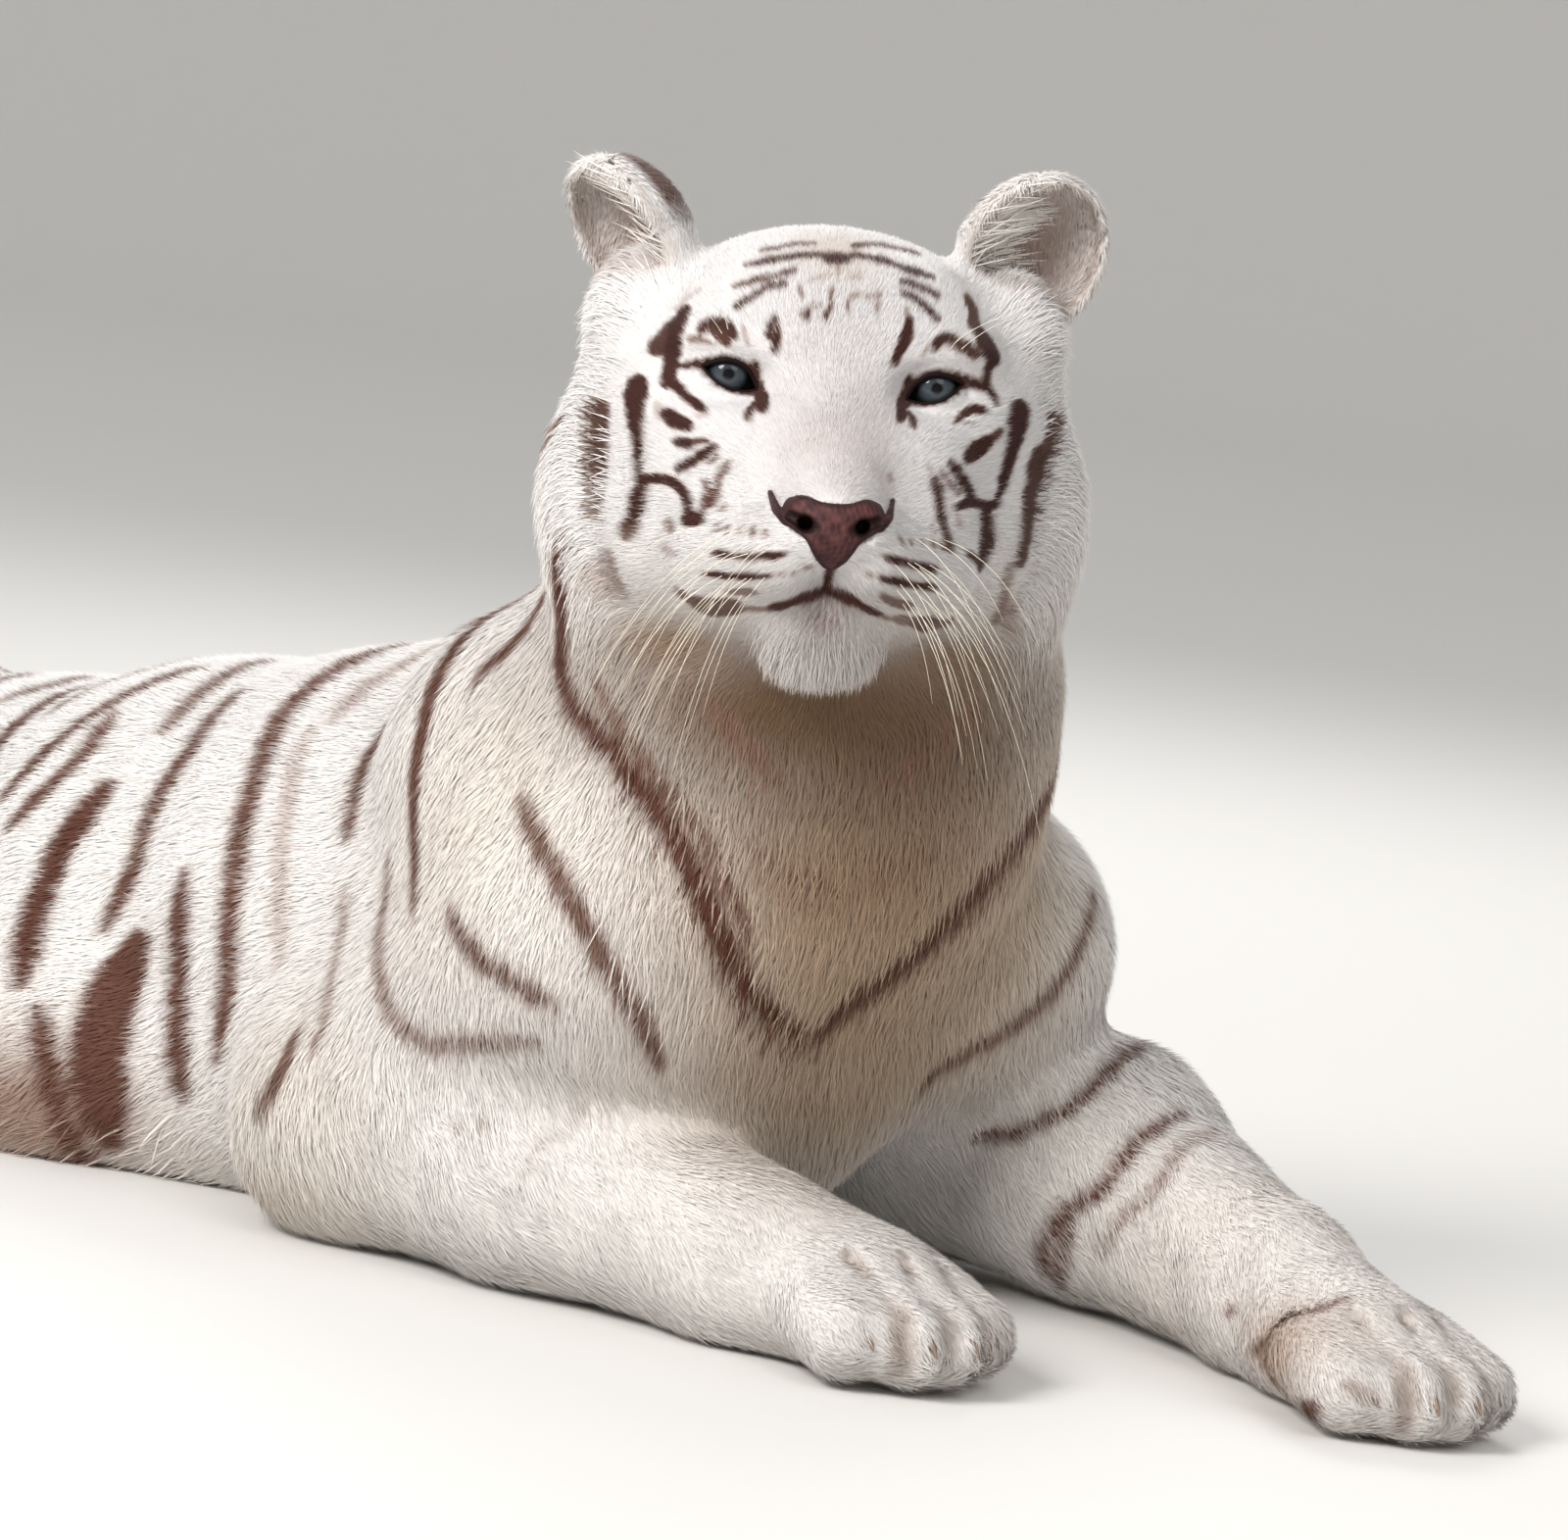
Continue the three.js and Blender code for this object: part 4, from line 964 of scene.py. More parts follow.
def coat_colour(p):
    """Colour of skin and coat at points on the body, with the markings."""
    q = to_head(p)
    colour = WHITE[:, None] * (1 + 0.035 * ripple(p, 70, 11) + 0.03 * ripple(p, 21, 12))
    for tints, where in ((BODY_TINTS, p), (HEAD_TINTS, q)):
        for at, reach, tint, strength in tints:
            colour = toward(colour, tint, strength * np.clip(1.15 * bump_at(where, at, reach), 0, 1))
    for side, ear in EARS.items():
        e = ear_local(q, side)
        inner = np.clip(-ear(q) / 30 + 1, 0, 1) * (e[2] > -30)
        wide, _, tall = EAR["cup"]
        bowl = np.exp(-((e[0] / wide) ** 2 + (e[2] / tall) ** 2) ** 2) * inner * (in_cup(e) < 0.98)
        colour = toward(colour, EAR_BOWL, bowl * 0.88)
        back = np.clip((-8 - e[1]) / 6, 0, 1) * (in_cup(e) > 1.0)
        spot = np.clip(2.2 - np.sqrt((e[0] / 17) ** 2 + ((e[2] - 8) / 17) ** 2) * 1.6, 0, 1)
        dark = back * (1 - spot) * np.clip((e[2] + 16) / 20, 0, 1) * 0.9 * inner
        rim = np.clip(1 - np.abs(e[1] - 1) / 7, 0, 1) * inner * 0.35
        colour = toward(colour, EAR_RIM, rim)
        colour = toward(colour, BROWN, dark)
    face, body = stripe_shade(p)
    for shade, full in ((face, DARK), (body, BROWN)):  # weak or worn marks are browner, not greyer
        tone = toward(FADED[:, None], full, np.clip(1.8 * shade - 0.75, 0, 1))
        colour = toward(colour, tone, np.clip(1.18 * shade, 0, 1))
    # the creases between the toes darkened: painted shade
    low = np.flatnonzero((p[2] < 110) & (np.abs(p[0]) < 340))
    if len(low):
        gap = np.min([g(p[:, low]) for g in gaps], axis=0)
        w = np.clip(1.0 - gap / 4.5, 0, 1) * 0.62
        colour[:, low] = toward(colour[:, low], TOE_CREASE_SHADE, w)
    off, along = tail_place(p)
    ring = np.clip(0.5 + 2.2 * (np.sin(along / 10.4 + 0.7 * ripple(p, 40, 9)) - 0.25), 0, 1)
    w = ring * np.clip((60 - off) / 8, 0, 1) * np.clip((along - 20) / 60, 0, 1)  # rings of the tail
    colour = toward(colour, BROWN, w * 0.95)
    colour = toward(colour, DARK * 1.6, np.clip((along - 760) / 50, 0, 1) * (off < 60))
    m = folded(q)
    eye = from_eye(m)
    rim = np.clip(2.2 - lid_opening(m) / np.where(m[2] > 1, 2.2, 1.5), 0, 1)
    rim = rim * (eye < EYE_R + 12) * (m[1] < EYE[1] + 2)
    tear = np.clip(1.8 - np.minimum(line_gap(m, (46, -12, -9), (41, -18, -19)),
                                    line_gap(m, (45, -12, -10), (44, -16, -22))) / 1.9, 0, 1)
    tear = np.maximum(tear, np.clip(1.6 - line_gap(m, (81, 2, 5), (92, 14, 6)) / 2.2, 0, 1))
    colour = toward(colour, DARK, np.maximum(rim, tear))
    chin = bump_at(q, (0, -86, -139), (17, 34, 13)) * np.clip(0.45 + ripple(q, 3.4, 41), 0, 1)
    colour = toward(colour, DARK * 3, np.clip(chin * 0.9, 0, 1))
    lips_and_nostril_shade = np.clip(1.45 - mouth_gap(m) / 1.7, 0, 1) * (1 - 0.8 * np.clip((m[0] - 24) / 16, 0, 1))
    lips_and_nostril_shade = np.maximum(lips_and_nostril_shade, np.clip(1.5 - line_gap(m, (0, -112, -127), (5, -108, -129)) / 3.5, 0, 1))
    # inside the nose's outline the skin is painted dark: painted shade in the nostrils
    lips_and_nostril_shade = np.maximum(lips_and_nostril_shade, np.clip(0.5 - nose_edge(q) / 1.2, 0, 1))
    return toward(colour, DARK * 1.1, lips_and_nostril_shade * 0.95)


def mouth_gap(m):
    """Distance from the line of the lips and the groove below the nose."""
    gap = line_gap(m, (0, -112, -106), (0, -108, -125))
    for (a, _), (b, _) in zip(MOUTH, MOUTH[1:]):
        gap = np.minimum(gap, line_gap(m, a, b))
    return gap - 2


# ------------------------------------------------------------------------------ lie of coat ----

def run(rows, pull=1.0, first=None):
    """The pieces of a limb's middle line, each with its radii and how strongly it steers hair."""
    rows = [(np.array(s[0], np.float32), float(s[1] + s[-1]) / 2) for s in rows]
    pulls = np.linspace(pull if first is None else first, pull, len(rows))
    return [(a, b, ra, rb, pa, pb)
            for (a, ra), (b, rb), pa, pb in zip(rows, rows[1:], pulls, pulls[1:])]


def to_toes(paw, flip=1):
    """A paw's own length, from its middle to the tips of the toes."""
    x, y, z = paw["at"]
    tip = on_paw(paw, 90, 0, z - 14)
    return [((x * flip, y, z), 50), ((tip[0] * flip, tip[1], tip[2]), 30)]


FLOWS = run(TRUNK) + run(NECK) + run(TAIL, 1.5)
for leg in (FORELEG["right"], FORELEG["left"]):
    toes = [(leg["lower"][-1][0], 50)] + to_toes(leg["paw"])
    FLOWS += run(leg["upper"]) + run(leg["lower"], 1.3) + run(toes, 1.5)
for flip in (-1, 1):
    upper, lower, foot = ([((x * flip, y, z), r) for (x, y, z), r in HINDLEG[k]]
                          for k in ("upper", "lower", "foot"))
    FLOWS += run(upper, 0.9, 0.0) + run(lower, 1.2) + run(foot, 1.3) + run(to_toes(HIND_PAW, flip), 1.5)

NOSE_TIP = np.array([[0], [-84], [-88]], np.float32)


def unit(v):
    """Vectors (3, N) made one long."""
    return v / np.maximum(np.sqrt((v * v).sum(0)), 1e-6)


def lie(p, n):
    """Which way the coat lies at points of the skin whose outward direction is n."""
    flow = np.zeros_like(p)
    for a, b, ra, rb, pa, pb in FLOWS:
        t, off = beside(p, a, b)
        gap = np.sqrt((off * off).sum(0)) - (ra + (rb - ra) * t)
        flow += unit((b - a)[:, None]) * ((pa + (pb - pa) * t) * np.exp(-np.clip(gap, -60, 250) / 34))
    flow = unit(flow)
    flow[2] -= 0.4 * (p[2] > 30)
    q = to_head(p)
    away = q - NOSE_TIP
    away[2] -= 30 * np.clip((q[1] - 30) / 60, 0, 1)  # the ruff hangs a little
    away[0] *= 1.15
    out = unit(HEAD_TURN @ away)
    for side, ear in EARS.items():
        _, up_way, _, across = ear_frame(side)
        on_ear = np.clip(1.3 - np.abs(ear(q)) / 10, 0, 1)[None]
        e = ear_local(q, side)
        tipward = (HEAD_TURN @ up_way)[:, None] + (HEAD_TURN @ across)[:, None] * (e[0] / 60)[None]
        out = out * (1 - on_ear) + unit(tipward) * on_ear
    w = np.clip(1.5 - head_distance(q) / 36, 0, 1)[None]
    flow = flow * (1 - w) + out * w
    flow -= n * (flow * n).sum(0)
    return unit(flow)


def nose_edge(q):
    """Below zero on the nose leather, in the face's own view."""
    x, z = np.abs(q[0]), q[2]
    top = z + 71.5 - 3.6 * np.exp(-((x - 19) / 8) ** 2) + 0.10 * np.maximum(x - 26, 0) ** 2
    wide = np.interp(z, (-130, -111, -109.5, -105, -99.6, -94.3, -90.4, -86.4, -82.5, -77, -72),
                     (-30, 0, 3.5, 8.5, 12, 15, 19, 25.5, 31, 30, 29)).astype(np.float32)
    body = smooth_max(top, (x - wide) * 0.8, 3)
    flat = np.stack([x, 0 * x, z])
    wing = np.minimum(line_gap(flat, (28, 0, -83), (33.5, 0, -77)),
                      line_gap(flat, (33.5, 0, -77), (36.5, 0, -68)))
    slim = 2.6 - 1.5 * np.clip((z + 80) / 12, 0, 1)
    return np.maximum(smooth_min(body, wing - slim, 2), q[1] + 50)


# -------------------------------------------------------------------------------------- coat ----

def styles(p, n):
    """Density (per square cm), length, width and lift of the tufts, and where long hair grows."""
    q = to_head(p)
    m = folded(q)
    w = np.clip(1.35 - head_distance(q) / 45, 0, 1)
    deep = coat_depth(p)
    snout = np.clip(1.5 * bump_at(m, (20, -90, -90), (60, 70, 70)), 0, 1)
    front = np.clip((70 - q[1]) / 50, 0, 1) * np.clip((q[2] + 100) / 60, 0, 1)
    length = 14.0 * (1 - w) + (9.5 - 2.6 * front - 3.0 * snout * (1 - 0.5 * front)) * w \
        + 1.1 * np.maximum(deep - 6, 0)
    width = 1.3 * (1 - w) + (0.82 - 0.1 * front - 0.12 * snout) * w
    density = 20.5 * (1 - w) + (56 + 26 * front + 36 * snout) * w
    lift = 0.26 * (1 - w) + (0.26 - 0.04 * snout) * w
    for at, reach in zip(FEET, (90, 95, 85, 85)):
        foot = np.clip(1.4 * bump_at(p, at, reach), 0, 1)
        length += (8.0 - length) * foot
        width += (1.1 - width) * foot
        density += (34 - density) * foot
    for ear in EARS.values():
        on_ear = np.clip(1.4 - np.abs(ear(q)) / 8, 0, 1)
        length += (8.0 - length) * on_ear
        density += (52 - density) * on_ear
    under = np.clip(1 - (p[2] - 3) / 8, 0, 1) * (n[2] < -0.5)
    density = density * (1 - 0.85 * under)
    eye = from_eye(m)
    bare = (eye < EYE_R + 12) & (lid_opening(m) < 2.6) & (m[1] < EYE[1] + 2)
    bare |= (mouth_gap(m) < 1.0) & (m[1] < 0)
    bare |= nose_edge(q) < 0.6
    bare |= (nostrils(q) < 5.5) & (q[1] < -70)
    density = np.where(bare, 0, density)
    lid_near = np.clip(1 - (lid_opening(m) - 2.6) / 14, 0, 1) * (eye < EYE_R + 26)
    length = length * (1 - 0.62 * lid_near)
    width = width * (1 - 0.35 * lid_near)
    lift = lift * (1 - 0.3 * lid_near)
    return density, length, width, lift


corner = [points[:, quads[:, i]] for i in range(4)]
diagonals = np.cross(corner[2] - corner[0], corner[3] - corner[1], axis=0)
quad_area = 0.5 * np.sqrt((diagonals ** 2).sum(0))
skin_normal = in_chunks(lambda p: unit(gradient(skin, p)), points)
skin_lie = lie(points, skin_normal)
skin_style = np.stack(styles(points, skin_normal))


def spread(field, pick, u, v):
    """A field known at the skin's points, read off inside its quads."""
    a, b, c, d = (field[:, quads[pick, i]] for i in range(4))
    return (a * (1 - u) + b * u) * (1 - v) + (d * (1 - u) + c * u) * v


def scatter(density):
    """Random places on the skin, so many to the square cm: quad, and place in it."""
    want = density[quads].mean(1) * quad_area / 100
    count = (want + rng.random(len(want))).astype(int)
    pick = np.repeat(np.arange(len(quads)), count)
    return pick, rng.random(len(pick)).astype(np.float32), rng.random(len(pick)).astype(np.float32)


def turned(v, n, angle):
    """A direction turned about the skin's normal."""
    return v * np.cos(angle) + np.cross(n, v, axis=0) * np.sin(angle)


REGIONS = ["head", "neck", "foreleg_right", "foreleg_left", "trunk_front_right", "trunk_front_left",
           "trunk_rear_right", "trunk_rear_left", "tail"]


def region_of(p):
    """Which piece of coat a root belongs to."""
    d = np.stack([
        skull(to_head(p)) - 10, neck(p), forelegs[0](p) - 6, forelegs[1](p) - 6, trunk(p), hindlegs(p),
        tail(p), feet(p)])
    kind = d.argmin(0)
    out = np.zeros(p.shape[1], int)
    right_side, rear = p[0] < 0, p[1] > 420
    for number in range(4):  # head, neck and forelegs
        out[kind == number] = number
    body, paw, far_back = (kind == 4) | (kind == 5), kind == 7, p[1] > 200
    out[body] = (4 + 2 * rear + ~right_side)[body]
    out[kind == 6] = 8
    out[paw & far_back] = (6 + ~right_side)[paw & far_back]
    out[paw & ~far_back] = (2 + (p[0] >= 20))[paw & ~far_back]
    return out


UNWRAP = {  # middle line the region is unrolled from, and the direction its seam faces
    "head": ([(-60, -190, 560), (-330, -470, 580)], (0.6, 0.6, -0.5)),
    "neck": ([(-66, -208, 500), (-4, -110, 200)], (0.5, 0.8, 0)),
    "foreleg_right": ([(-112, -20, 400), (-150, -60, 120), (-70, -480, 40)], (1, 0.2, -0.2)),
    "foreleg_left": ([(112, -40, 400), (210, -120, 110), (140, -680, 40)], (-1, 0.2, -0.2)),
    "trunk": ([(0, -120, 150), (0, 1160, 140)], (0, 0, -1)),
    "tail": ([row[0] for row in TAIL], (0, 0, -1)),
}


def unwrap(name, p):
    """Place of a root on the unrolled skin, 0 to 1: round the region's middle line, and along."""
    rows, seam = UNWRAP[name if name in UNWRAP else "trunk"]
    best = np.full(p.shape[1], 1e9, np.float32)
    u, v, start = np.zeros_like(best), np.zeros_like(best), 0.0
    total = sum(math.dist(a, b) for a, b in zip(rows, rows[1:]))
    for a, b in zip(rows, rows[1:]):
        a, b = np.array(a, np.float32), np.array(b, np.float32)
        way, length = (b - a) / np.linalg.norm(b - a), float(np.linalg.norm(b - a))
        ref = np.array(seam, np.float32)
        ref = unit((ref - way * ref.dot(way))[:, None])[:, 0]
        side = np.cross(way, ref)
        q = p - a[:, None]
        t = way @ q
        off = q - way[:, None] * np.clip(t, 0, length)
        gap = np.sqrt((off * off).sum(0))
        closer = gap < best
        best = np.where(closer, gap, best)
        u = np.where(closer, np.arctan2(-(side @ q), -(ref @ q)) / (2 * math.pi) + 0.5, u)
        v = np.where(closer, (start + np.clip(t, 0, length)) / total, v)
        start += length
    lo, hi = v.min(), v.max()
    return 0.01 + 0.98 * np.stack([u, (v - lo) / max(hi - lo, 1e-6)])


PATCH = 0.003  # side of a tuft's own patch of the OFBake map


def dress(piece, colours, normals=None, places=None, layout=None, loops=None):
    """Adds the coat's colours, its normals and the map it is baked by.

    Each tuft's corners lie in layout (-1 to 1) on a patch at its root's place on the skin.
    """
    mesh = piece.data
    tint = mesh.attributes.new("tint", "FLOAT_COLOR", "POINT")
    tint.data.foreach_set("color", np.concatenate(
        [colours.T, np.ones((colours.shape[1], 1))], axis=1).astype(np.float32).ravel())
    if normals is not None:
        custom = mesh.attributes.new("custom_normal", "FLOAT_VECTOR", "POINT")
        custom.data.foreach_set("vector", unit(normals).T.astype(np.float32).ravel())
    if places is not None:
        uv = mesh.uv_layers.new(name="OFBake")
        at = places[:, None, :] + PATCH / 2 * np.array(layout, np.float32).T[:, :, None]
        flat = at.reshape(2, -1)[:, loops]
        uv.data.foreach_set("uv", flat.T.astype(np.float32).ravel())
    return piece


ABOVE_FLOOR = 0.5  # no hair goes lower than this
TUFTS_PER_PIECE = 95000
TUFTS_VARY, LOCKS_VARY = 0.04, 0.06  # how much brighter or darker one is than the next


def tufts(name, roots, n, flow, length, width, lift, colour, tip_colour, region):
    """Short fur: each tuft a low ridge of two triangles, broad at the root and pointed."""
    count = roots.shape[1]
    side = np.cross(flow, n, axis=0)
    rise = np.sin(np.arctan(lift))
    tip = roots + (flow * np.sqrt(1 - rise ** 2) + n * rise) * length
    tip[2] = np.maximum(tip[2], 0.6)
    base = roots - n * 0.4
    ridge = base + n * width * 0.55 + flow * length * 0.12
    low_corners = [base - side * width / 2, base + side * width / 2, ridge]
    for v in low_corners:
        v[2] = np.maximum(v[2], ABOVE_FLOOR)
    at = np.concatenate(low_corners + [tip], axis=1)
    i = np.arange(count)
    faces = np.concatenate([np.stack([i, i + 2 * count, i + 3 * count], 1),
                            np.stack([i + 2 * count, i + count, i + 3 * count], 1)])
    piece = put(name, at, [faces])
    lean = n * 0.9 + flow * 0.12 + rng.normal(0, 0.10, (3, count)).astype(np.float32)
    normals = np.concatenate([lean - side * 0.35, lean + side * 0.35, lean, lean + flow * 0.1], axis=1)
    # the root corners painted darker than the ridge and tip: painted shade among the tufts
    shade = np.concatenate([colour * 0.9, colour * 0.9, colour * 0.96, tip_colour * 1.03], axis=1)
    dress(piece, shade, normals, unwrap(region, roots), [(-1, -1), (1, -1), (0, -0.3), (0, 1)],
          faces.ravel())
    return piece


def paint(roots, ends):
    """Colour of tufts near the root and near the tip: the markings there, with a little variety."""
    light = np.clip(1 + TUFTS_VARY * rng.normal(0, 1, roots.shape[1]), 0.7, 1.2).astype(np.float32)
    both = []
    for share in (0.25, 0.9):
        where = roots + (ends - roots) * share
        both.append(np.clip(coat_colour(where.astype(np.float32)) * light, 0.01, 0.9))
    return both


pick, u, v = scatter(skin_style[0])
roots = spread(points, pick, u, v)
root_normal = unit(spread(skin_normal, pick, u, v))
_, length, width, lift = spread(skin_style, pick, u, v)
flow = spread(skin_lie, pick, u, v)
swirl = 0.22 * ripple(roots, 46, 21) + 0.10 * ripple(roots, 17, 22) \
    + 0.15 * rng.normal(0, 1, len(pick)).astype(np.float32)
flow = turned(unit(flow - root_normal * (flow * root_normal).sum(0)), root_normal, swirl)
length = length * rng.uniform(0.7, 1.25, len(pick)).astype(np.float32)
width = width * rng.uniform(0.75, 1.3, len(pick)).astype(np.float32)
lift = lift * rng.uniform(0.55, 1.35, len(pick)).astype(np.float32)
colour, tip_colour = paint(roots, roots + flow * length[None])
region = region_of(roots)
coat_pieces = []
for i, name in enumerate(REGIONS):
    in_region = np.flatnonzero(region == i)
    parts = max(1, math.ceil(len(in_region) / TUFTS_PER_PIECE))
    for part, here in enumerate(np.array_split(in_region, parts)):
        label = "coat_" + name + ("" if part == 0 else "_" + str(part + 1))
        coat_pieces.append(tufts(label, roots[:, here], root_normal[:, here], flow[:, here],
                                 length[here], width[here], lift[here], colour[:, here],
                                 tip_colour[:, here], name))


def hair_paths(roots, n, flow, length, lift, droop):
    """Middle lines of long hair: rising from the skin, then lying over and hanging."""
    t = np.linspace(0, 1, 4, dtype=np.float32)
    rise = lift * (t - 0.45 * t * t)
    down = np.array([0, 0, -1], np.float32)[:, None, None] * (droop * t * t)
    at = roots[:, :, None] + length[None, :, None] * (
        flow[:, :, None] * t + n[:, :, None] * rise + down)
    at[2] = np.maximum(at[2], 0.8)
    return at


def locks(name, roots, n, flow, length, width, lift, droop, region, tone=None):
    """Long hair: bent ridged blades that taper to a point."""
    at = hair_paths(roots, n, flow, length, lift, droop)
    count, steps = at.shape[1], at.shape[2]
    side = np.cross(flow, n, axis=0)
    taper = np.array([1, 0.9, 0.6])
    rows, shades, leans = [], [], []
    light = np.clip(1 + LOCKS_VARY * rng.normal(0, 1, count), 0.75, 1.2).astype(np.float32)
    start = coat_colour(roots.astype(np.float32)) * light
    if tone is not None:
        start = np.array(tone)[:, None] * light
    for k in range(steps - 1):
        half = side * width * taper[k] / 2
        rows += [at[:, :, k] - half, at[:, :, k] + half, at[:, :, k] + n * width * 0.4 * taper[k]]
        # each row painted lighter toward the tip: painted shade near the root
        darker = start * (0.84 + 0.07 * k)
        shades += [darker, darker, darker * 1.06]
        leans += [n - side * 0.35, n + side * 0.35, n]
    rows.append(at[:, :, -1])
    shades.append(start * 1.06)
    leans.append(n + flow * 0.1)
    corners = np.concatenate(rows, axis=1)
    corners[2] = np.maximum(corners[2], ABOVE_FLOOR)
    i = np.arange(count)
    faces = []
    for k in range(steps - 2):
        l0, r0, k0 = (i + (3 * k + j) * count for j in range(3))
        l1, r1, k1 = (i + (3 * k + 3 + j) * count for j in range(3))
        faces += [np.stack([l0, k0, k1, l1], 1), np.stack([k0, r0, r1, k1], 1)]
    l0, r0, k0 = (i + (3 * (steps - 2) + j) * count for j in range(3))
    tip = i + 3 * (steps - 1) * count
    ends = np.concatenate([np.stack([l0, k0, tip], 1), np.stack([k0, r0, tip], 1)])
    blades = np.concatenate(faces)
    piece = put(name, corners, [blades, ends])
    layout = [(x, -1 + 2 * k / (steps - 1)) for k in range(steps - 1) for x in (-1, 1, 0)] + [(0, 1)]
    dress(piece, np.clip(np.concatenate(shades, axis=1), 0.01, 0.92), np.concatenate(leans, axis=1),
          unwrap(region, roots), layout, np.concatenate([blades.ravel(), ends.ravel()]))
    return piece


def long_hair(name, region, density, low, high, width, lift, droop, steer=None, stray=0.18, tone=None):
    """Long hair where density (per square cm, at the skin's points) is above nothing."""
    pick, u, v = scatter(np.maximum(density, 0))
    roots, n = spread(points, pick, u, v), unit(spread(skin_normal, pick, u, v))
    flow = spread(skin_lie, pick, u, v)
    if steer is not None:
        flow = steer(roots, n, flow)
    flow = unit(flow - n * (flow * n).sum(0))
    flow = turned(flow, n, stray * rng.normal(0, 1, len(pick)).astype(np.float32))
    count = len(pick)
    length = rng.uniform(low, high, count).astype(np.float32)
    width = width * rng.uniform(0.7, 1.25, count).astype(np.float32)
    return locks(name, roots, n, flow, length, width, lift, droop, region, tone)


head_points = to_head(points)
mirror_points = folded(head_points)


def patch(at, reach, where=points, least=0.3):
    """A soft patch on the skin: 1 in its middle, nothing where it would be under least."""
    return np.maximum(bump_at(where, at, reach) - least, 0) / (1 - least)


ruff_hair = patch((122, 86, -70), (46, 62, 96), mirror_points, 0.25) * (skin_style[0] > 5)
ruff_hair = ruff_hair + 0.9 * patch((116, 60, 34), (30, 30, 26), mirror_points, 0.35)
coat_pieces.append(long_hair("ruff", "head", ruff_hair * 38, 13, 23, 0.8, 0.40, 0.08))
chin_hair = patch((0, -58, -172), (52, 46, 26), mirror_points, 0.25)
coat_pieces.append(long_hair("chin", "head", chin_hair * 50, 11, 20, 0.7, 0.32, 0.20))
breast_hair = patch((-80, -290, 290), (150, 110, 150), points, 0.2) * (skin_style[0] < 40)
breast_hair = breast_hair + 0.8 * patch((150, -30, 60), (120, 160, 60))
breast_hair = breast_hair + 0.6 * patch((-180, 60, 60), (60, 70, 50))
coat_pieces.append(long_hair("breast_hair", "neck", breast_hair * 5.5, 16, 26, 1.2, 0.30, 0.10))
belly_hair = patch((0, 400, 24), (260, 380, 60), points, 0.3) * (points[2] > 6)
coat_pieces.append(long_hair("belly_hair", "trunk", belly_hair * 2.2, 20, 34, 1.9, 0.30, 0.25))


def ear_hair_density(side):
    """Where the long hair in an ear grows: from the front edge of the cup and its foot."""
    e = ear_local(head_points, side)
    inside = (np.abs(EARS[side](head_points)) < 1.6) & (in_cup(e) < 0.97)
    return inside * (1.0 * (e[0] > 6) + 0.6 * (e[2] < -6) * (e[0] > -10)) * (e[2] > -46) * (e[2] < 26)


for side, word in SIDES:
    _, up_way, face, across = ear_frame(side)
    sweep = HEAD_TURN @ (up_way * 0.8 - across * 0.6 + face * 0.25)

    def steer_ear(roots, n, flow, sweep=sweep):
        return flow * 0.1 + sweep[:, None]
    coat_pieces.append(long_hair("ear_hair_" + word, "head", ear_hair_density(side) * 24,
                                 24, 42, 0.75, 0.28, 0.0, steer_ear, 0.12, EAR_HAIR))


# --------------------------------------------------------------------------------- materials ----

def material(name, roughness, colour=None, sheen=0.0, coat=0.0, specular=0.5):
    """A material with its node tree and its shader."""
    made = bpy.data.materials.new(name)
    made.use_nodes = True
    shader = made.node_tree.nodes["Principled BSDF"]
    shader.inputs["Roughness"].default_value = roughness
    shader.inputs["Specular IOR Level"].default_value = specular
    shader.inputs["Sheen Weight"].default_value = sheen
    shader.inputs["Coat Weight"].default_value = coat
    shader.inputs["Coat Roughness"].default_value = 0.04
    if colour:
        shader.inputs["Base Color"].default_value = (*colour, 1)
    return made, made.node_tree, shader


def add_node(tree, kind, inputs, operation=None):
    """A shader node; each of its inputs is given as a value or as the socket it is linked from."""
    made = tree.nodes.new("ShaderNode" + kind)
    if operation:
        made.operation = operation
    for place, given in inputs.items():
        if isinstance(given, bpy.types.NodeSocket):
            tree.links.new(given, made.inputs[place])
        else:
            made.inputs[place].default_value = given
    return made


def object_place(tree):
    """Places on the piece, which stay with it in every view."""
    return add_node(tree, "TexCoord", {}).outputs["Object"]


def tint_colour(tree):
    """The colour that dress() gave to each point."""
    tint = add_node(tree, "Attribute", {})
    tint.attribute_name = "tint"
    return tint.outputs["Color"]


def bump(tree, shader, height, strength, distance):
    """Fine relief on a shader, from a height."""
    node = add_node(tree, "Bump", {"Strength": strength, "Distance": distance, "Height": height})
    tree.links.new(node.outputs["Normal"], shader.inputs["Normal"])


def fur_material(name, low, high, rough, sheen, relief):
    """Coat or skin: the markings, broken up by fine noise."""
    made, tree, shader = material(name, rough, sheen=sheen, specular=0.16)
    grain = add_node(tree, "TexNoise", {"Scale": 240, "Detail": 2, "Vector": object_place(tree)})
    levels = add_node(tree, "MapRange",
                      {"Value": grain.outputs["Fac"], "To Min": low, "To Max": high})
    mix = tree.nodes.new("ShaderNodeMix")
    mix.data_type, mix.blend_type = "RGBA", "MULTIPLY"
    mix.inputs["Factor"].default_value = 1.0
    tree.links.new(tint_colour(tree), mix.inputs["A"])
    tree.links.new(levels.outputs["Result"], mix.inputs["B"])
    tree.links.new(mix.outputs["Result"], shader.inputs["Base Color"])
    if relief:
        bump(tree, shader, grain.outputs["Fac"], 0.6, relief)
    shader.inputs["Sheen Roughness"].default_value = 0.5
    return made


fur = fur_material("fur", 0.94, 1.05, 0.65, 0.04, 0.0)
hide = fur_material("hide", 0.80, 0.98, 0.7, 0.1, 0.0006)
for piece in coat_pieces:
    piece.data.materials.append(fur)

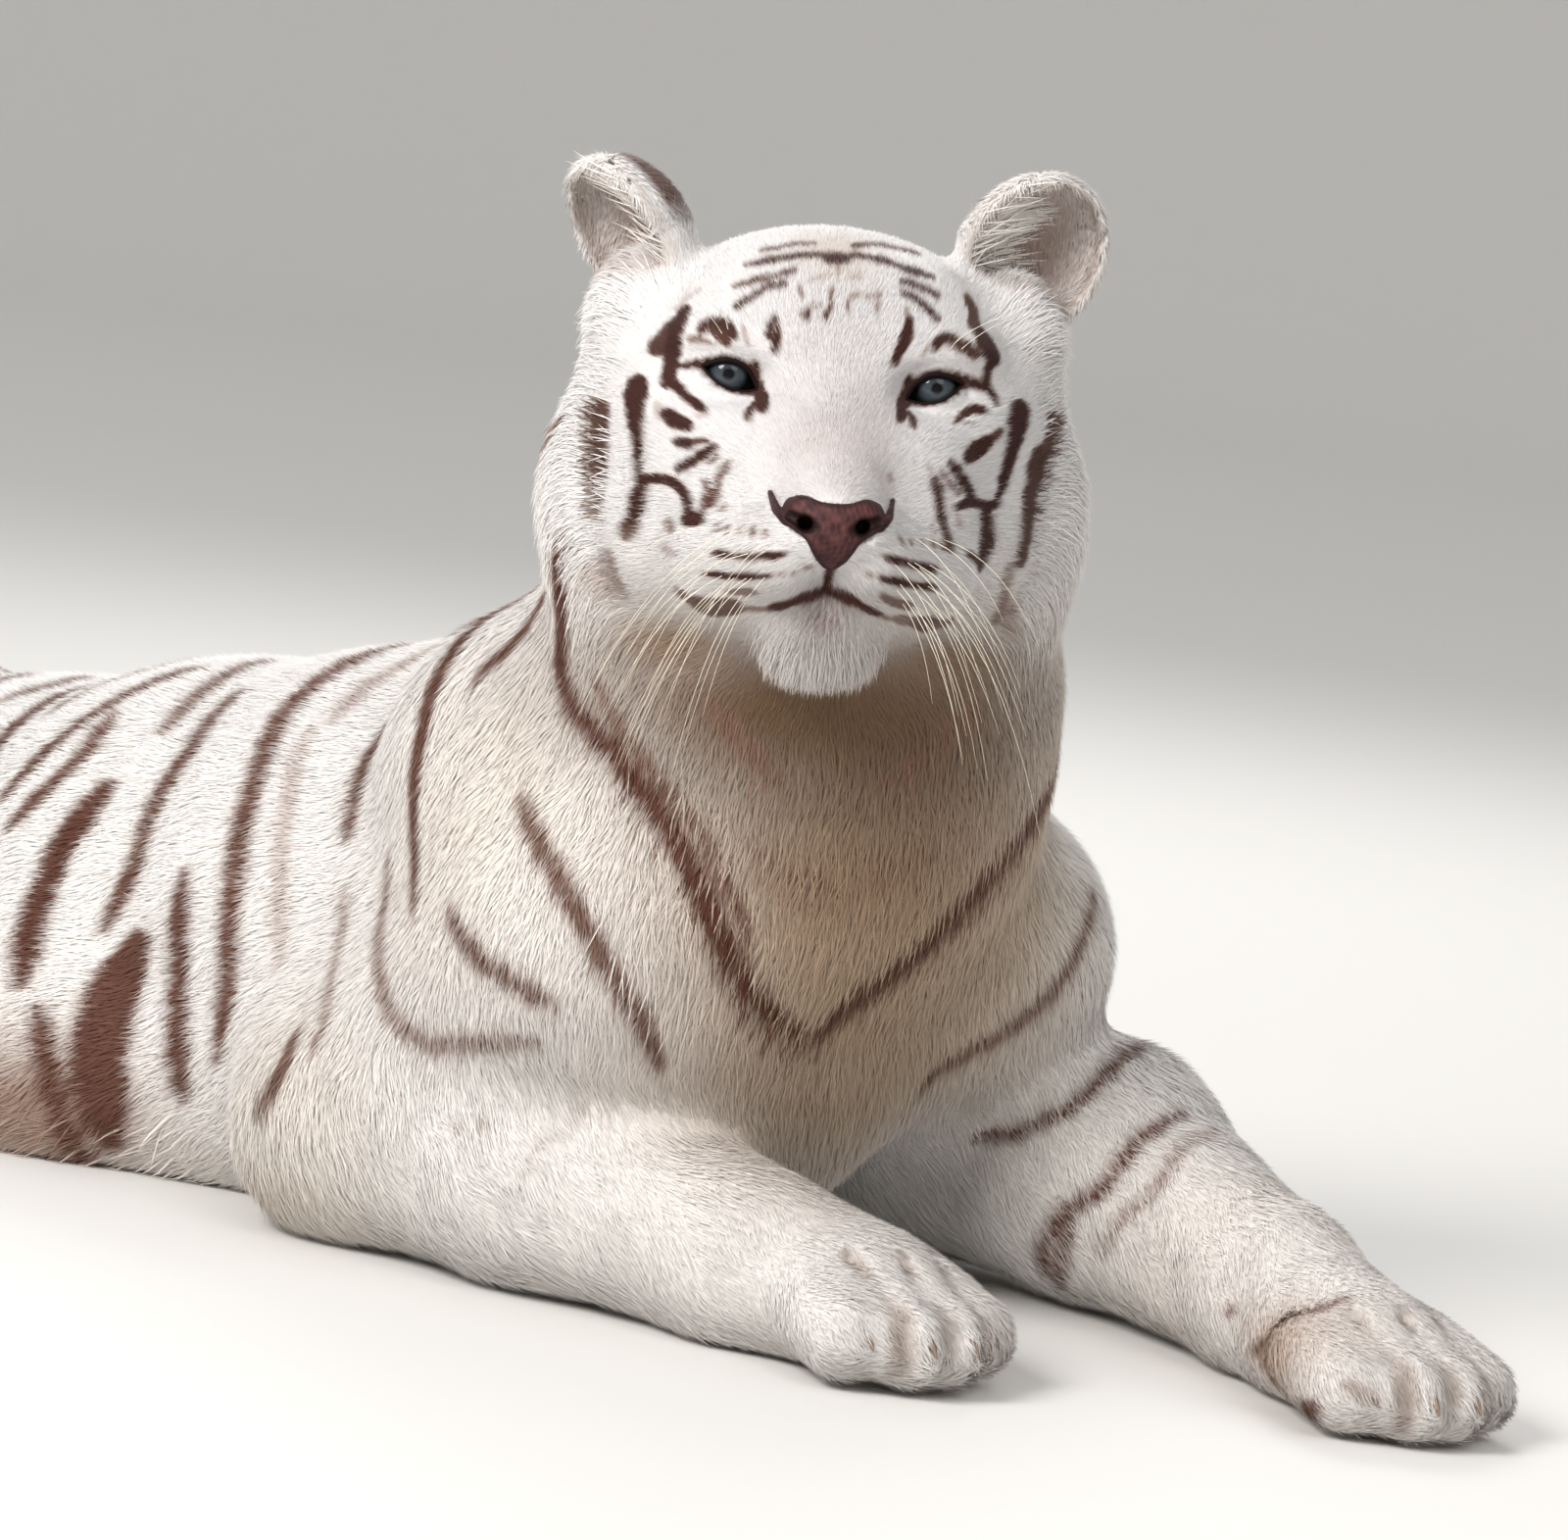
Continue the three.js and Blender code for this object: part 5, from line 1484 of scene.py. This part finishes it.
skin_colour = in_chunks(lambda p: coat_colour(p.astype(np.float32)), points)
# the skin is painted darker than the coat over it: painted shade under the coat
dress(skin_piece, skin_colour * 0.95)  # a little darker than the coat over it
skin_piece.data.materials.append(hide)
flesh = ["belly", "chest", "neck", "rump", "head"]
for paired in ("ear", "upper_arm", "forearm", "forepaw", "thigh", "hind_foot", "hind_paw"):
    flesh += [paired + "_left", paired + "_right"]
flesh += ["tail_root", "tail_middle", "tail_tip"]
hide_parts(*flesh)


# -------------------------------------------------------------------------------------- eyes ----

IRIS_RINGS = [  # from the middle of the pupil (0) out to the side of the eyeball (1)
    (0.0, (0.002, 0.002, 0.003)), (0.150, (0.003, 0.003, 0.004)), (0.175, (0.022, 0.028, 0.030)),
    (0.24, (0.041, 0.051, 0.058)), (0.42, (0.034, 0.044, 0.053)), (0.52, (0.017, 0.022, 0.027)),
    (0.585, (0.005, 0.005, 0.006)), (0.72, (0.008, 0.006, 0.005)), (1.0, (0.06, 0.035, 0.03)),
]


def iris_material():
    """Grey-blue iris round a small dark pupil, by distance from the eye's own axis."""
    made, tree, shader = material("iris", 0.7, coat=1.0, specular=0.0)
    shader.inputs["Coat IOR"].default_value = 1.34
    where = object_place(tree)
    x, _, z = add_node(tree, "SeparateXYZ", {0: where}).outputs
    squares = [add_node(tree, "Math", {0: k, 1: k}, "MULTIPLY").outputs[0] for k in (x, z)]
    both = add_node(tree, "Math", {0: squares[0], 1: squares[1]}, "ADD").outputs[0]
    off_axis = add_node(tree, "Math", {0: both}, "SQRT").outputs[0]
    streak = add_node(tree, "TexNoise", {"Scale": 260, "Detail": 4, "Vector": where})
    sway = add_node(tree, "Math", {0: streak.outputs["Fac"], 1: 0.0022, 2: off_axis}, "MULTIPLY_ADD")
    levels = add_node(tree, "MapRange", {"Value": sway.outputs[0], "From Min": 0.0011,
                                         "From Max": 0.0011 + 0.0200})
    ramp = add_node(tree, "ValToRGB", {"Fac": levels.outputs["Result"]})
    while len(ramp.color_ramp.elements) < len(IRIS_RINGS):
        ramp.color_ramp.elements.new(0.5)
    for element, (place, colour) in zip(ramp.color_ramp.elements, IRIS_RINGS):
        element.position = place
        element.color = (*colour, 1)
    shade = add_node(tree, "MapRange", {"Value": z, "From Min": 0.001, "From Max": 0.009,
                                        "To Min": 1.12, "To Max": 0.25})  # shadow of the upper lid
    dimmed = add_node(tree, "VectorMath", {0: ramp.outputs["Color"],
                                           "Scale": shade.outputs["Result"]}, "SCALE")
    tree.links.new(dimmed.outputs[0], shader.inputs["Base Color"])
    return made


def ball(name, radius):
    """An eyeball looking along its own -Y, with a cornea that bulges a little."""
    rings, spokes, bulge = 40, 64, 1.0
    a = np.linspace(0, math.pi, rings)[1:-1]
    b = np.linspace(0, 2 * math.pi, spokes, endpoint=False)
    a, b = np.meshgrid(a, b, indexing="ij")
    r = radius + bulge * np.exp(-(a / 0.55) ** 4)
    at = np.stack([r * np.sin(a) * np.cos(b), -r * np.cos(a), r * np.sin(a) * np.sin(b)]).reshape(3, -1)
    at = np.concatenate([at, [[0, 0], [-radius - bulge, radius], [0, 0]]], axis=1)
    rows = rings - 2
    grid = np.arange(rows * spokes).reshape(rows, spokes)
    nxt = np.roll(grid, -1, 1)
    quad = np.stack([grid[:-1], grid[1:], nxt[1:], nxt[:-1]], -1).reshape(-1, 4)
    front = np.stack([np.full(spokes, rows * spokes), grid[0], nxt[0]], 1)
    rear = np.stack([nxt[-1], grid[-1], np.full(spokes, rows * spokes + 1)], 1)
    return put(name, at, [quad, front, rear])


iris = iris_material()
LOOK_OUT = math.radians(2.0)  # how far each eye turns outward
for side, word in SIDES:
    eyeball = ball("eyeball_" + word, EYE_R - 0.6)
    centre = from_head(EYE[:, None] * np.array([[side], [1], [1]], np.float32))[:, 0] * MM
    look = Matrix.Rotation(LOOK_OUT * side, 4, "Z")
    facing = Matrix(HEAD_TURN.tolist()).to_4x4() @ look
    eyeball.matrix_world = Matrix.Translation(centre.tolist()) @ facing
    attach(eyeball, "root")
    eyeball.data.materials.append(iris)
    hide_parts("eye_" + word)


def tubes(name, paths, radii, sides):
    """Round strands, all in one mesh: paths (M, 3, K) in millimetres, radii (M, K)."""
    count, _, steps = paths.shape
    way = np.gradient(paths, axis=2)
    way /= np.maximum(np.linalg.norm(way, axis=1, keepdims=True), 1e-6)
    ref = np.where(np.abs(way[:, 2:3]) > 0.8, np.array([1, 0, 0])[None, :, None],
                   np.array([0, 0, 1])[None, :, None])
    a = np.cross(way, ref, axis=1)
    a /= np.maximum(np.linalg.norm(a, axis=1, keepdims=True), 1e-6)
    b = np.cross(way, a, axis=1)
    turns = [2 * math.pi * k / sides for k in range(sides)]
    rings = [paths + (a * math.cos(t) + b * math.sin(t)) * radii[:, None] for t in turns]
    at = np.stack(rings, 0).transpose(2, 1, 3, 0).reshape(3, -1)
    grid = np.arange(count * steps * sides).reshape(count, steps, sides)
    nxt = np.roll(grid, -1, 2)
    faces = np.stack([grid[:, :-1], grid[:, 1:], nxt[:, 1:], nxt[:, :-1]], -1).reshape(-1, 4)
    caps = np.concatenate([grid[:, 0, ::-1], grid[:, -1]])
    return put(name, at, [faces, caps])


rim, _, _ = material("lid_margin", 0.6, (0.010, 0.005, 0.004), specular=0.08)
for side, word in SIDES:
    t = np.linspace(0, 2 * math.pi, 90, endpoint=False)
    u, top = LID["half"] * np.cos(t), np.sin(t) > 0
    arc = 1 - (u / LID["half"]) ** 2
    w = np.where(top, LID["upper"] + 0.5, -LID["lower"] - 0.4) * arc
    c, k = LID_TILT
    x, z = EYE[0] + LID["at"][0] + u * c - w * k, EYE[2] + LID["at"][1] + u * k + w * c
    start = np.stack([x * side, np.full_like(x, -60), z]).astype(np.float32)
    at = to_head(to_surface(skin, from_head(start), HEAD_BACK, 70))
    depth = EYE[1] - np.sqrt(np.maximum((EYE_R + 0.5) ** 2 - (x - EYE[0]) ** 2 - (z - EYE[2]) ** 2, 0))
    at[1] = np.minimum(at[1] + 0.4, depth)
    at[1] = (at[1] + sum(np.roll(at[1], k) for k in (1, -1, 2, -2))) / 5
    thick = np.where(top, 1.5, 0.85) + 0.6 * np.exp(-((u + LID["half"]) / 5) ** 2)
    loop = np.concatenate([at, at[:, :1]], axis=1)
    margin = tubes("lid_margin_" + word, from_head(loop.astype(np.float32))[None],
                   np.append(thick, thick[0])[None], 8)
    margin.data.materials.append(rim)


# ------------------------------------------------------------------------------------- claws ----

def claw_paths(paw, toe, flip=1):
    """Sheathed claws, only their points showing at the front of each toe."""
    t = np.linspace(0, 1, CLAW_STEPS)
    paths = []
    for i in TOES:
        z = paw["tall"] - toe["drop"] + 1 - 9 * t * t
        at = on_paw(paw, toe_reach(toe, i) + toe["r"] + 6 + 13 * t, i * toe["spread"] + 0 * t, z)
        paths.append(np.stack([flip * at[0], at[1], at[2]]))
    return paths


CLAW_STEPS = 7
claws = claw_paths(RIGHT_PAW, FORE_TOE) + claw_paths(LEFT_PAW, FORE_TOE) \
    + claw_paths(HIND_PAW, HIND_TOE) + claw_paths(HIND_PAW, HIND_TOE, -1)
claw_radii = np.tile(3.5 * (1 - np.linspace(0, 1, CLAW_STEPS)) ** 0.75 + 0.25, (len(claws), 1))
claw_piece = tubes("claws", np.stack(claws), claw_radii, 8)
horn, _, _ = material("claw_horn", 0.35, (0.21, 0.14, 0.095), specular=0.5)
claw_piece.data.materials.append(horn)

# -------------------------------------------------------------------------------------- nose ----

def nose_leather(q):
    """The bare leather of the nose: a thin cover on the skull inside the nose's outline."""
    d = skull(q) + 1.0
    d = smooth_max(d, nose_edge(q) - 0.6, 3.5)
    d = smooth_max(d, -nostrils(q), 2.2)
    groove = girth(station((0, -119, -92), 0.8), station((0, -117, -110), 1.6))
    d = smooth_max(d, -groove(q), 3)
    return np.maximum(d, -(skull(q) + 9))


NOSE_PINK = np.array([[0.105], [0.038], [0.037]])
NOSE_BROWN = np.array([[0.036], [0.013], [0.014]])
nose_at, nose_quads = surface(nose_leather, (-42, -125, -112), (42, -60, -60), 1.0, coarse=2)
leather, tree, shader = material("nose_leather", 0.55, specular=0.16)
pebble = add_node(tree, "TexVoronoi", {"Scale": 700, "Vector": object_place(tree)})
bump(tree, shader, pebble.outputs["Distance"], 0.5, 0.0006)
tree.links.new(tint_colour(tree), shader.inputs["Base Color"])
nose_piece = put("nose_leather", from_head(nose_at.astype(np.float32)), [nose_quads])
spot = nose_at.astype(np.float32)
mottle = np.clip(0.5 + 0.35 * ripple(spot, 9, 31) + 0.3 * ripple(spot, 3.4, 32), 0, 1)[None]
rose = NOSE_PINK * mottle + NOSE_BROWN * (1 - mottle)
rose = rose * (1 - 0.35 * np.clip((-88 - spot[2]) / 14, 0, 1))[None]
dark_edge_and_nostril_shade = np.clip(1.1 + nose_edge(spot) / 3.0, 0, 1) * 0.75
# the nostrils and their slits at the outer wings darkened: painted shade in these hollows
dark_edge_and_nostril_shade = np.maximum(dark_edge_and_nostril_shade, np.clip(1.1 - nostrils(spot) / 2.4, 0, 1) * 0.97)
nostril_slit_shade = np.clip((np.abs(spot[0]) - 19) / 9, 0, 1) * np.clip((-74 - spot[2]) / 6, 0.3, 1)
dark_edge_and_nostril_shade = np.maximum(dark_edge_and_nostril_shade, nostril_slit_shade * 0.85)
rose = rose * (1 - dark_edge_and_nostril_shade[None]) + DARK[:, None] * 0.25 * dark_edge_and_nostril_shade[None]
dress(nose_piece, rose)
nose_piece.data.materials.append(leather)
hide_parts("nose")

# ---------------------------------------------------------------------------------- whiskers ----

# height on the face, inner and outer place of the row, number of whiskers
WHISKER_ROWS = [(-90, 44, 70, 3), (-104, 36, 70, 6), (-118, 36, 72, 7), (-128, 42, 76, 6)]


def whiskers():
    """Long stiff hairs: rows on the whisker pads and a few over each eye."""
    paths, radii = [], []
    t = np.linspace(0, 1, 9)
    for side in (-1, 1):
        for row, (z, near_x, far_x, count) in enumerate(WHISKER_ROWS):
            for k in range(count):
                share = (k + rng.uniform(0.1, 0.9)) / count
                x = near_x + (far_x - near_x) * share
                root = to_head(on_face([(side * x, z + rng.uniform(-2, 2))]))[:, 0]
                way = np.array([side * (0.50 + 0.40 * share), -0.42 + 0.55 * share + rng.normal(0, 0.1),
                                -0.26 - 0.12 * row + rng.normal(0, 0.10)])
                way /= np.linalg.norm(way)
                long = rng.uniform(48, 104) * (1.1 - 0.25 * row * (1 - share) / 2)
                sag = np.array([-side * 0.12, 0.12, -0.50 - 0.15 * rng.random()])
                line = root[:, None] + long * (way[:, None] * t + sag[:, None] * t * t)
                paths.append(from_head(line.astype(np.float32)))
                radii.append(0.22 * (1 - t) ** 0.6 + 0.05)
        for k in range(4):
            root = to_head(on_face([(side * rng.uniform(52, 76), rng.uniform(24, 33))]))[:, 0]
            way = np.array([side * rng.uniform(0.1, 0.6), -0.75, rng.uniform(0.5, 0.8)])
            sag = np.array([side * 0.15, 0.5, -0.15])
            line = root[:, None] + rng.uniform(30, 52) * (way[:, None] * t + sag[:, None] * t * t)
            paths.append(from_head(line.astype(np.float32)))
            radii.append(0.20 * (1 - t) ** 0.7 + 0.04)
    return tubes("whiskers", np.stack(paths), np.stack(radii), 4)


pale_hair, _, _ = material("whisker", 0.4, (0.80, 0.74, 0.62), specular=0.4)
whisker_piece = whiskers()
whisker_piece.data.materials.append(pale_hair)

# ------------------------------------------------------------------------------ floor, light ----

# a wide dish: its flat middle lies at z = 0 and its edge curves up out of sight (metres)
profile = [(0.01, 0), (2, 0), (5, 0), (9, 0), (12, 0.05)]
profile += [(12 + 5 * math.sin(a), 5.05 - 5 * math.cos(a)) for a in np.linspace(0.1, math.pi / 2, 16)]
profile += [(17, 12)]
SPOKES = 96
spin = np.linspace(0, 2 * math.pi, SPOKES + 1)[:-1]
r, h = np.array(profile).T
rings = np.stack([r[:, None] * np.cos(spin), r[:, None] * np.sin(spin), h[:, None] + 0 * spin], -1)
grid = np.arange(rings.shape[0] * SPOKES).reshape(-1, SPOKES)
turned_grid = np.roll(grid, -1, 1)
floor_faces = np.stack([grid[:-1], turned_grid[:-1], turned_grid[1:], grid[1:]], -1).reshape(-1, 4)
floor_mesh = bpy.data.meshes.new("floor")
floor_mesh.from_pydata(rings.reshape(-1, 3).tolist(), [], floor_faces.tolist() + [grid[0].tolist()])
floor_mesh.shade_smooth()
floor = bpy.data.objects.new("floor", floor_mesh)
bpy.context.scene.collection.objects.link(floor)
pale, _, _ = material("pale_floor", 0.95, (0.74, 0.725, 0.70), specular=0.0)
floor_mesh.materials.append(pale)

SKY, SKY_STRENGTH = (0.98, 0.985, 1.0, 1), 0.74
world = bpy.data.worlds.new("studio")
bpy.context.scene.world = world
world.use_nodes = True
world.node_tree.nodes["Background"].inputs["Color"].default_value = SKY
world.node_tree.nodes["Background"].inputs["Strength"].default_value = SKY_STRENGTH


def lamp(name, at, aim, size, power, colour=(1, 1, 1)):
    """A round soft lamp, its place and size in metres and its power in watts."""
    light = bpy.data.lights.new(name, "AREA")
    light.shape, light.size, light.energy, light.color = "DISK", size, power, colour
    held = bpy.data.objects.new(name, light)
    bpy.context.scene.collection.objects.link(held)
    held.location = at
    held.rotation_euler = (Vector(aim) - Vector(at)).to_track_quat("-Z", "Y").to_euler()


lamp("key", (-3.9, -0.5, 2.8), (-0.1, 0, 0.3), 1.9, 205, (1.0, 0.985, 0.97))
lamp("fill", (-1.5, -3.9, 3.1), (0, 0, 0.2), 2.4, 40, (1.0, 0.99, 0.98))
lamp("rim", (2.6, 2.0, 3.0), (0, 0.3, 0.3), 2.2, 62)
bpy.context.scene.view_settings.view_transform = "Standard"
